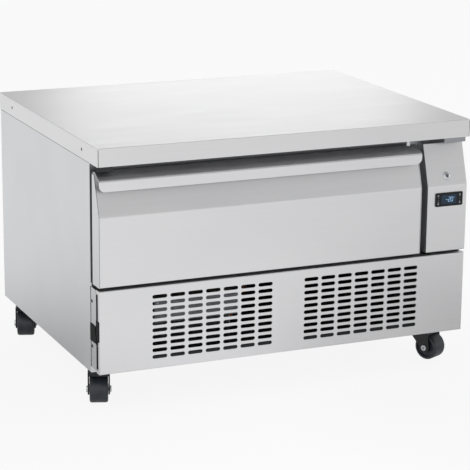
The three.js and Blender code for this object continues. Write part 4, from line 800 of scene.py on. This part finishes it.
pot = {"x": 262, "y": 150, "low": 95.6, "seam": 187.4, "dome": 217.5, "top": 263.3, "radius": 76,
       "dome_radius": 74}
pot_place = Matrix.Translation((pot["x"] * MM, pot["y"] * MM, 0))
shell = bmesh.new()
radius, low, seam_z = pot["radius"], pot["low"], pot["seam"]
profile = [(0, low), (60, low), (69, low + 3), (74.5, low + 9), (radius, low + 16), (radius, seam_z - 0.5),
           (78.6, seam_z), (79.4, seam_z + 2), (78.6, seam_z + 4), (radius - 2, seam_z + 4.6)]
for step in range(13):
    turn = math.radians(90 * step / 12)
    rise = (pot["top"] - pot["dome"]) * math.sin(turn)
    profile.append((pot["dome_radius"] * math.cos(turn), pot["dome"] + rise))
turned_mesh(shell, profile, 64, pot_place)
fit(new_object(shell, "compressor_pot"), enamel, "cabinet", "black_paint", "compressor")

stub = {"z": 201.3, "radius": 6.5, "outer": 91.8, "inner": 74}
tube = bmesh.new()
rod_mesh(tube, stub["radius"], (pot["x"] - stub["outer"], pot["y"], stub["z"]),
         (pot["x"] - stub["inner"], pot["y"], stub["z"]), 20)
fit(new_object(tube, "compressor_stub"), copper, "cabinet", "copper")

base = {"reach": 89, "low": 103.3, "sheet": 3, "corner": 12, "foot": 81}
reach = base["reach"]
plate = bmesh.new()
box_mesh(plate, (-reach, -reach, base["low"]), (reach, reach, base["low"] + base["sheet"]))
bevel_edges(plate, lambda p, d: abs(d.z) > 0.9, base["corner"], 6)
bevel_edges(plate, lambda p, d: abs(d.z) < 0.5, 0.7, 2)
bmesh.ops.transform(plate, matrix=pot_place, verts=plate.verts)
fit(new_object(plate, "compressor_base"), enamel, "cabinet", "black_paint")

foot_profile = [(0, 89.4), (8.6, 89.4), (9, 90), (9, 97), (7, 99), (7, 101), (9, 103), (9, 108), (8, 109.2),
                (0, 109.2)]
feet = bmesh.new()
for x in (-base["foot"], base["foot"]):
    for y in (-base["foot"], base["foot"]):
        turned_mesh(feet, foot_profile, 24, pot_place @ Matrix.Translation((x * MM, y * MM, 0)))
fit(new_object(feet, "compressor_feet"), rubber, "cabinet", "gasket_rubber")

terminals = {"low": (-22, -91.5, 124), "high": (22, -68, 163), "edge": 3.0}
cover = bmesh.new()
box_mesh(cover, terminals["low"], terminals["high"])
cover_box = new_object(cover, "compressor_terminal_cover")
soften(cover_box, terminals["edge"], 3)
cover_box.data.transform(pot_place)
fit(cover_box, black_plastic, "cabinet", "black_plastic")


# Condenser and evaporator
# Copper tubes run to and fro through thin aluminium fins, joined in pairs by bends that are brazed on, between
# end plates bent from thicker aluminium. The condenser stands behind the lower panel, the evaporator in the box.
# Mill aluminium is light grey, with dull streaks along the rolling direction that break up the shine.
fin_stock, tree, shader = new_material("mill_aluminium_fins", Metallic=1.0)
surface(tree, shader, blotches(tree, 7.0, (1, 1, 4)), ("#a4a8ab", "#c3c6c8"), blotches(tree, 3.0), (0.34, 0.52))
fin = {"spacing": 3.4, "half": 0.2, "play": 0.3, "margin": 6, "plate": 1.5, "top_sheet": 1.2, "top_width": 8}


def bend_mesh(bm, tube, bend, place, steps=12):
    """Half a ring of round tube with closed ends, from -z to +z about the origin on the +x side."""
    before = set(bm.verts)
    upright = Matrix.Translation((0, 0, -bend * MM)) @ Matrix.Rotation(math.radians(90), 4, "Y")
    ring = bmesh.ops.create_circle(bm, cap_ends=True, radius=tube * MM, segments=14, matrix=upright)["verts"]
    parts = dict.fromkeys([*ring, *(e for v in ring for e in v.link_edges),
                           *(f for v in ring for f in v.link_faces)])
    bmesh.ops.spin(bm, geom=list(parts), cent=(0, 0, 0), axis=(0, -1, 0), angle=math.pi, steps=steps)
    bmesh.ops.transform(bm, matrix=place, verts=[v for v in bm.verts if v not in before])


def coil_meshes(left, right, front, back, foot, low, top, passes, tube):
    """A coil's thin fins and end plates, and its copper tubes with the bends that join them in pairs."""
    fins, tubes, play = bmesh.new(), bmesh.new(), fin["play"]
    count = int((right - left - fin["margin"]) / fin["spacing"])
    start = (left + right - count * fin["spacing"]) / 2
    for index in range(count + 1):
        x = start + index * fin["spacing"]
        box_mesh(fins, (x - fin["half"], front + play, low), (x + fin["half"], back - play, top - play))
    plate, width = fin["plate"], fin["top_width"]
    for x in (left, right - plate):
        box_mesh(fins, (x, front, foot), (x + plate, back, top))
    for x in (left + plate, right - plate - width):
        box_mesh(fins, (x, front, top - fin["top_sheet"]), (x + width, back, top))
    step, middle = (top - low) / passes, (front + back) / 2
    heights = [low + step * (k + 0.5) for k in range(passes)]
    for z in heights:
        rod_mesh(tubes, tube, (left - 0.5, middle, z), (right + 0.5, middle, z), 14)
    for k, (z, above) in enumerate(zip(heights, heights[1:])):
        end, outward = (right, 1) if k % 2 else (left, -1)
        place = Matrix.Translation(((end + outward * 0.3) * MM, middle * MM, (z + above) / 2 * MM))
        bend_mesh(tubes, tube, step / 2, place @ Matrix.Rotation(0 if outward > 0 else math.pi, 4, "Z"))
    return fins, tubes


for coil, sizes in {
    "condenser": {"left": -335, "right": -85, "front": -215, "back": -171, "foot": 89.3, "low": 97.3, "top": 239.3,
                  "passes": 6, "tube": 4.5},
    "evaporator": {"left": -309, "right": 229, "front": 254.7, "back": 302.7, "foot": 330.3, "low": 342.3,
                   "top": 482.3, "passes": 4, "tube": 5.0},
}.items():
    fins, tubes = coil_meshes(**sizes)
    fit(new_object(fins, coil + "_fins"), fin_stock, "cabinet", "aluminium", coil + "_coil", smooth=20)
    fit(new_object(tubes, coil + "_tubes"), copper, "cabinet", "copper")


# Fans
# A small motor turns a moulded five-bladed fan, behind the condenser and in front of the evaporator. The
# condenser's fan sits in a shroud of galvanised sheet, which is folded and screwed to the coil.
# Zinc dipped sheet has grown crystals some 9 mm wide, whose facets look lighter or darker than each other.
galvanised, tree, shader = new_material("galvanised_steel", Metallic=0.9)
crystal_size = 9 * MM
place = add_node(tree, "ShaderNodeTexCoord")
spangle = add_node(tree, "ShaderNodeTexVoronoi", {"Vector": place.outputs["Object"], "Scale": 1 / crystal_size})
surface(tree, shader, spangle.outputs["Color"], ("#77797c", "#8e9093"), polish=(0.4, 0.6))
finish_nodes(galvanised, "condenser_shroud")
# Painted die-casting looks black and slightly rough. Its speckle of 0.5 mm is drawn 2.5 mm wide.
motor_cast, tree, shader = new_material("painted_motor_housing")
surface(tree, shader, blotches(tree, 2.5), ("#1a1b1d", "#2b2d30"), polish=(0.45, 0.6), relief=(0.06, 0.4))
finish_nodes(motor_cast, "condenser_fan_motor")
# Moulded polypropylene is grey and slightly waxy, with clouds of pigment.
fan_plastic, tree, shader = new_material("grey_moulded_fan_blades")
surface(tree, shader, blotches(tree, 18.0), ("#3a3d41", "#4a4d52"), blotches(tree, 2.0), (0.4, 0.55))


def fan_blades(tip):
    """Five twisted blades as thin sheets that widen towards the tip, along the z axis."""
    bm = bmesh.new()
    for blade in range(5):
        grid = bmesh.ops.create_grid(bm, x_segments=9, y_segments=6, size=0.5)["verts"]
        for vertex in grid:
            share, side = vertex.co.x + 0.5, vertex.co.y
            reach = 13 + (tip - 13.2) * share
            width = 10 + (tip * 0.5 - 10) * share ** 0.8
            pitch = math.radians(42 - 16 * share)
            camber = 1.6 * (1 - (2 * side) ** 2)
            across = side * width * math.cos(pitch)
            height = side * width * math.sin(pitch) + camber
            vertex.co = Vector((math.sqrt(reach ** 2 - across ** 2), across, height)) * MM
        bmesh.ops.rotate(bm, verts=grid, cent=(0, 0, 0), matrix=Matrix.Rotation(math.tau * blade / 5, 3, "Z"))
    return bm


fan_hub = [(0, -8.8), (14, -8.8), (15, -7.8), (15, 3), (13.6, 6.5), (9, 8.6), (0, 9.0)]
for coil, tip, at in [("condenser", 65.6, (-210, -145.8, 164.3)), ("evaporator", 51.6, (-40, 213.65, 419.0))]:
    place = Matrix.Translation(Vector(at) * MM) @ Matrix.Rotation(math.radians(90), 4, "X")
    blades = new_object(fan_blades(tip), coil + "_fan_blades")
    thicken(blades, 1.7)
    soften(blades, 0.5, 2, 60)
    rotor = bmesh.new()
    rotor.from_mesh(blades.data)
    turned_mesh(rotor, fan_hub, 40)
    bmesh.ops.transform(rotor, matrix=place, verts=rotor.verts)
    bmesh.ops.recalc_face_normals(rotor, faces=rotor.faces)
    rotor.to_mesh(blades.data)
    rotor.free()
    fit(blades, fan_plastic, coil + "_rotor", "black_plastic", coil + "_fan")


# Electrical box, drip tray and mains inlet
# The box is folded from galvanised sheet, with a lid on four screws. The tray that catches the melt water and
# the inlet socket at the back are moulded in black plastic.
finish_nodes(galvanised, "electrical_box")
finish_nodes(black_plastic, "mains_inlet", "drip_tray")
lid = {"xs": (-282, -93), "zs": (180, 218), "y": -268, "head": 3.2, "rise": 1.4}
box_screws = bmesh.new()
for x in lid["xs"]:
    for z in lid["zs"]:
        screw_head(box_screws, (x, lid["y"], z), (0, -1, 0), lid["head"], lid["rise"])
fit(new_object(box_screws, "electrical_box_screws"), zinc_plate, "cabinet", "zinc")


# Casters
# A pressed plate with a ball race, a pressed fork with a rounded crown, and a nylon wheel with a softly
# shouldered tread on an axle bolt. Each plate is bolted to the floor of the cabinet.
# Sprayed gloss paint has a fine orange peel of 1 mm, drawn 2.2 mm wide, which breaks up the highlights.
black_paint, tree, shader = new_material("gloss_black_paint", Coat_Weight=0.25, Coat_Roughness=0.15,
                                         Specular_IOR_Level=0.3)
surface(tree, shader, blotches(tree, 12.0), ("#0d0e10", "#17181b"), blotches(tree, 2.2), (0.26, 0.4), (0.05, 0.25))
# Moulded nylon is dark grey with a blue cast, dusty in patches, and its grain of 0.2 mm is drawn 1.4 mm wide.
nylon, tree, shader = new_material("grey_nylon_wheel")
surface(tree, shader, blotches(tree, 16.0), ("#262a31", "#33383f"), blotches(tree, 3.0), (0.36, 0.52))
tread = add_node(tree, "ShaderNodeBump", {"Height": blotches(tree, 1.4), "Distance": 0.04 * MM, "Strength": 0.4})
tree.links.new(tread.outputs[0], shader.inputs["Normal"])

caster = {"x": 409, "front": -232, "back": 300, "trail": 25, "plate": 64, "plate_low": 84.2, "plate_high": 87.2,
          "crown": (67.9, 71.9), "fork_back": 22, "fork_front": 34, "leg": 13, "leg_inner": 21.5, "sheet": 3.2,
          "wheel": 30, "width": 41.2, "skirt": 61.4, "nut": 63.1, "bolt": 25, "axle": 4}
swivels = {"front_left": -110, "front_right": -64, "back_left": -110, "back_right": -64}


def hex_mesh(bm, across, start, end):
    """A hexagon nut or bolt head between two points in millimetres, with its corners turned off."""
    a, b = Vector(start) * MM, Vector(end) * MM
    turn = (b - a).to_track_quat("Z", "Y").to_matrix().to_4x4()
    reach = (b - a).length / MM
    profile = [(0, 0), (across, 0), (across, reach - 0.7), (across * 0.84, reach), (0, reach)]
    turned_mesh(bm, profile, 6, Matrix.Translation(a) @ turn)


def caster_plate():
    """The fixed plate with its race."""
    bm = bmesh.new()
    reach = caster["plate"] / 2
    box_mesh(bm, (-reach, -reach, caster["plate_low"]), (reach, reach, caster["plate_high"]))
    bevel_edges(bm, lambda p, d: abs(d.z) > 0.9, 8, 5)
    bevel_edges(bm, lambda p, d: abs(d.z) < 0.5, 0.8, 2)
    turned_mesh(bm, [(0, 72.2), (16, 72.2), (19.5, 73.2), (22.4, 77.0), (23, 80.2), (23, 84.6), (0, 84.6)], 36)
    return bm


def caster_bolts():
    """The zinc-plated bolt heads, the king pin and its nut."""
    bm = bmesh.new()
    for x in (-caster["bolt"], caster["bolt"]):
        for y in (-caster["bolt"], caster["bolt"]):
            hex_mesh(bm, 5.5, (x, y, 84.4), (x, y, 80.8))
    rod_mesh(bm, 5, (0, 0, caster["nut"] - 1), (0, 0, 74), 20)
    hex_mesh(bm, 9, (0, 0, 67.7), (0, 0, caster["nut"]))
    return bm


def fork_leg(bm, inner, outer):
    """One leg of the fork, narrowing to a round end about the axle."""
    low, high = caster["crown"]
    back, front, z = -caster["fork_back"], caster["fork_front"], caster["wheel"]
    centre, radius = caster["trail"], caster["leg"]
    outline = [(back, high - 1.5), (back, low - 3), (centre - radius, z)]
    for step in range(1, 16):
        turn = math.pi + math.pi * step / 16
        outline.append((centre + radius * math.cos(turn), z + radius * math.sin(turn)))
    outline += [(centre + radius, z), (front, low - 3), (front, high - 1.5)]
    face = bm.faces.new([bm.verts.new((x * MM, inner * MM, z * MM)) for x, z in outline])
    swept = bmesh.ops.extrude_face_region(bm, geom=[face])["geom"]
    bmesh.ops.translate(bm, verts=new_points(swept), vec=(0, (outer - inner) * MM, 0))


def caster_fork():
    """The pressed fork: a crown bent down at both sides into the legs, and in front and behind into skirts."""
    low, high = caster["crown"]
    outer = caster["leg_inner"] + caster["sheet"]
    bm = bmesh.new()
    box_mesh(bm, (-caster["fork_back"], -outer, low), (caster["fork_front"], outer, high))
    bevel_edges(bm, lambda p, d: p.z > high - 0.1 and abs(d.x) > 0.9, 3.0, 5)
    for x in (-caster["fork_back"], caster["fork_front"] - caster["sheet"]):
        box_mesh(bm, (x, -outer + 0.6, caster["skirt"]), (x + caster["sheet"], outer - 0.6, low + 1))
    fork_leg(bm, caster["leg_inner"], outer)
    fork_leg(bm, -caster["leg_inner"], -outer)
    return bm


def caster_wheel():
    """The wheel: hub, dished web, and a tread with rounded shoulders."""
    bm = bmesh.new()
    w, hub = caster["width"] / 2, caster["leg_inner"] - 0.3
    side = [(4.3, hub), (11.2, hub), (12, hub - 0.8), (12, w - 6), (20, w - 6), (22, w - 5), (23, w), (25, w)]
    side += [(25 + 5 * math.sin(t * math.pi / 12), w - 5 + 5 * math.cos(t * math.pi / 12)) for t in range(1, 7)]
    profile = side + [(radius, -height) for radius, height in reversed(side)] + [side[0]]
    about_axle = Matrix.Translation((caster["trail"] * MM, 0, caster["wheel"] * MM))
    turned_mesh(bm, profile, 56, about_axle @ Matrix.Rotation(math.radians(90), 4, "X"))
    return bm


def caster_axle():
    """The axle bolt with its hexagon head and nut."""
    bm = bmesh.new()
    reach, x, z = caster["leg_inner"] + caster["sheet"] + 0.3, caster["trail"], caster["wheel"]
    rod_mesh(bm, caster["axle"], (x, -reach - 3.0, z), (x, reach + 3.0, z), 20)
    for side in (-1, 1):
        hex_mesh(bm, 7.5, (x, side * reach, z), (x, side * (reach + 3), z))
    return bm


for corner, turn in swivels.items():
    end, side = corner.split("_")
    centre = Matrix.Translation((caster["x"] * MM * (1 if side == "right" else -1), caster[end] * MM, 0))
    turned = centre @ Matrix.Rotation(math.radians(turn), 4, "Z")
    for label, make, place, material, body, slot_name, replaced in [
        ("plate", caster_plate, centre, black_paint, "cabinet", "black_paint", ["caster_plate_" + corner]),
        ("bolts", caster_bolts, centre, zinc_plate, "cabinet", "zinc", []),
        ("fork", caster_fork, turned, black_paint, "swivel_" + corner, "black_paint", ["caster_fork_" + corner]),
        ("axle", caster_axle, turned, zinc_plate, "swivel_" + corner, "zinc", ["caster_axle_" + corner]),
        ("wheel", caster_wheel, turned, nylon, "wheel_" + corner, "wheel_plastic", ["caster_wheel_" + corner]),
    ]:
        made = make()
        bmesh.ops.transform(made, matrix=place, verts=made.verts)
        part = new_object(made, f"{label}_{corner}")
        if label == "fork":
            soften(part, 0.6)
        fit(part, material, body, slot_name, *replaced)


# Room
# A white room with a white horizon, and a darker band above it that gives the leaning steel faces their tone.
# Metal sees this band as it sees the dark upper part of a photographer's studio.
scene = bpy.context.scene
scene.view_settings.view_transform = "Standard"
world = bpy.data.worlds.new("white_room")
scene.world = world
world.use_nodes = True
tree = world.node_tree
direction = add_node(tree, "ShaderNodeTexCoord")
split = add_node(tree, "ShaderNodeSeparateXYZ", {"Vector": direction.outputs["Generated"]})
heights = add_node(tree, "ShaderNodeValToRGB", {"Fac": split.outputs["Z"]})
ramp = heights.color_ramp
for index, (place, grey) in enumerate([(0.0, 1.0), (0.27, 1.0), (0.36, 0.27), (0.62, 0.27), (0.9, 0.7)]):
    stop = ramp.elements[index] if index < 2 else ramp.elements.new(place)
    stop.position, stop.color = place, (grey, grey, grey, 1.0)
background = tree.nodes["Background"]
tree.links.new(heights.outputs["Color"], background.inputs["Color"])
background.inputs["Strength"].default_value = 1.0


# Floor
# White studio paper, unrolled under the cabinet. It keeps the soft shadow, and has painted shade as well: its
# colour is painted greyer in places round the cabinet, and what the steel mirrors of it is painted darker near
# the cabinet and lighter in a patch in front, as painted reflection. Paper is matt, so the eye sees no shine on
# it.
def seen_directly(tree, by_camera, by_reflection):
    """A share for rays from the camera, and one for those that metal or glass sends on. Soft light gets none."""
    rays = add_node(tree, "ShaderNodeLightPath").outputs
    sent_on = add_node(tree, "ShaderNodeMath", {0: rays["Is Glossy Ray"], 1: rays["Is Transmission Ray"]},
                       operation="MAXIMUM")
    from_camera = add_node(tree, "ShaderNodeMath", {0: rays["Is Camera Ray"], 1: by_camera}, operation="MULTIPLY")
    return add_node(tree, "ShaderNodeMath", {0: sent_on.outputs[0], 1: by_reflection, 2: from_camera.outputs[0]},
                    operation="MULTIPLY_ADD").outputs[0]


def away_from(tree, centre, near, far, start=0.0, end=1.0):
    """A value near a point of the floor, going over to another one far from it, in metres."""
    place = add_node(tree, "ShaderNodeTexCoord")
    reach = add_node(tree, "ShaderNodeVectorMath", {0: place.outputs["Object"], 1: centre}, operation="DISTANCE")
    limits = {"From Min": near, "From Max": far, "To Min": start, "To Max": end}
    return add_node(tree, "ShaderNodeMapRange", {"Value": reach.outputs["Value"], **limits}).outputs[0]


floor_mesh = bmesh.new()
bmesh.ops.create_grid(floor_mesh, x_segments=1, y_segments=1, size=30.0)
floor = new_object(floor_mesh, "floor")
paper, tree, shader = new_material("white_paper", Roughness=0.9)
# Painted shade: the paper's colour is greyer near these points round the cabinet.
painted_shade_openness = away_from(tree, (0.76, -0.61, 0), 0.28, 0.9)
for centre, near, far in [((-0.6, 0.1, 0), 0.05, 0.95), ((1.9, -2.3, 0), 0.1, 1.8), ((0.25, -0.5, 0), 0.0, 0.45)]:
    painted_shade_openness = add_node(tree, "ShaderNodeMath", {0: painted_shade_openness, 1: away_from(tree, centre, near, far)},
                        operation="MINIMUM").outputs[0]
tone = add_node(tree, "ShaderNodeMix", {"Factor": painted_shade_openness, 6: linear("#b4b4b4"), 7: linear("#f4f4f4")},
                data_type="RGBA")
tree.links.new(tone.outputs[2], shader.inputs["Base Color"])
glow = add_node(tree, "ShaderNodeEmission", {"Color": (1.0, 1.0, 1.0, 1.0), "Strength": 1.0})
# Painted reflection: what metal mirrors of the floor is darker near the cabinet, and lighter in a patch in front.
painted_reflection = add_node(tree, "ShaderNodeMapRange", {"Value": painted_shade_openness, "To Min": 0.2, "To Max": 1.06})
painted_reflection_patch = away_from(tree, (-0.08, -1.4, 0), 0.1, 0.95, 0.5, 0.0)
painted_reflection = add_node(tree, "ShaderNodeMath", {0: painted_reflection.outputs[0], 1: painted_reflection_patch}, operation="ADD")
mix = add_node(tree, "ShaderNodeMixShader", {
    0: seen_directly(tree, 0.9, painted_reflection.outputs[0]), 1: shader.outputs[0], 2: glow.outputs[0]})
tree.links.new(mix.outputs[0], tree.nodes["Material Output"].inputs["Surface"])
floor.data.materials.append(paper)


# Lamps
# Large soft boxes in front at the left, at the right, and behind, each aimed at the cabinet: where it stands,
# what it looks at, its width, its height as a share of that, and its power in watts.
for name, place, aim, width, share, power in [
    ("key", (-2.6, -3.2, 3.0), (0, 0, 0.4), 3.8, 1.0, 50),
    ("fill", (2.6, -0.6, 2.6), (0, 0, 0.4), 2.0, 1.0, 12),
    ("back", (0.82, 1.83, 1.16), (0, 0, 0.6), 1.25, 0.85, 3.9),
]:
    lamp = bpy.data.lights.new(name, "AREA")
    lamp.energy, lamp.size, lamp.size_y, lamp.shape = power, width, width * share, "RECTANGLE"
    holder = bpy.data.objects.new(name, lamp)
    holder.location, holder.visible_camera = place, False
    holder.rotation_euler = (Vector(aim) - Vector(place)).to_track_quat("-Z", "Y").to_euler()
    scene.collection.objects.link(holder)


# Camera
# A long lens from the front left, looking down by some 15 degrees. Its place and turn are fitted to the corners
# seen in the photograph.
azimuth, elevation, roll = (math.radians(a) for a in (-23.684, 14.683, 0.546))
level = math.cos(elevation)
back = Vector((math.sin(azimuth) * level, -math.cos(azimuth) * level, math.sin(elevation)))
right = Vector((0, 0, 1)).cross(back).normalized()
up = back.cross(right)
across = math.cos(roll) * right + math.sin(roll) * up
upward = math.cos(roll) * up - math.sin(roll) * right
camera = bpy.data.objects.new("camera", bpy.data.cameras.new("camera"))
camera.data.lens, camera.data.sensor_width = 149.2, 36.0
camera.matrix_world = (Matrix.Translation((-1.7887, -4.1253, 1.4589))
                       @ Matrix((across, upward, back)).transposed().to_4x4())
scene.collection.objects.link(camera)
scene.camera = camera
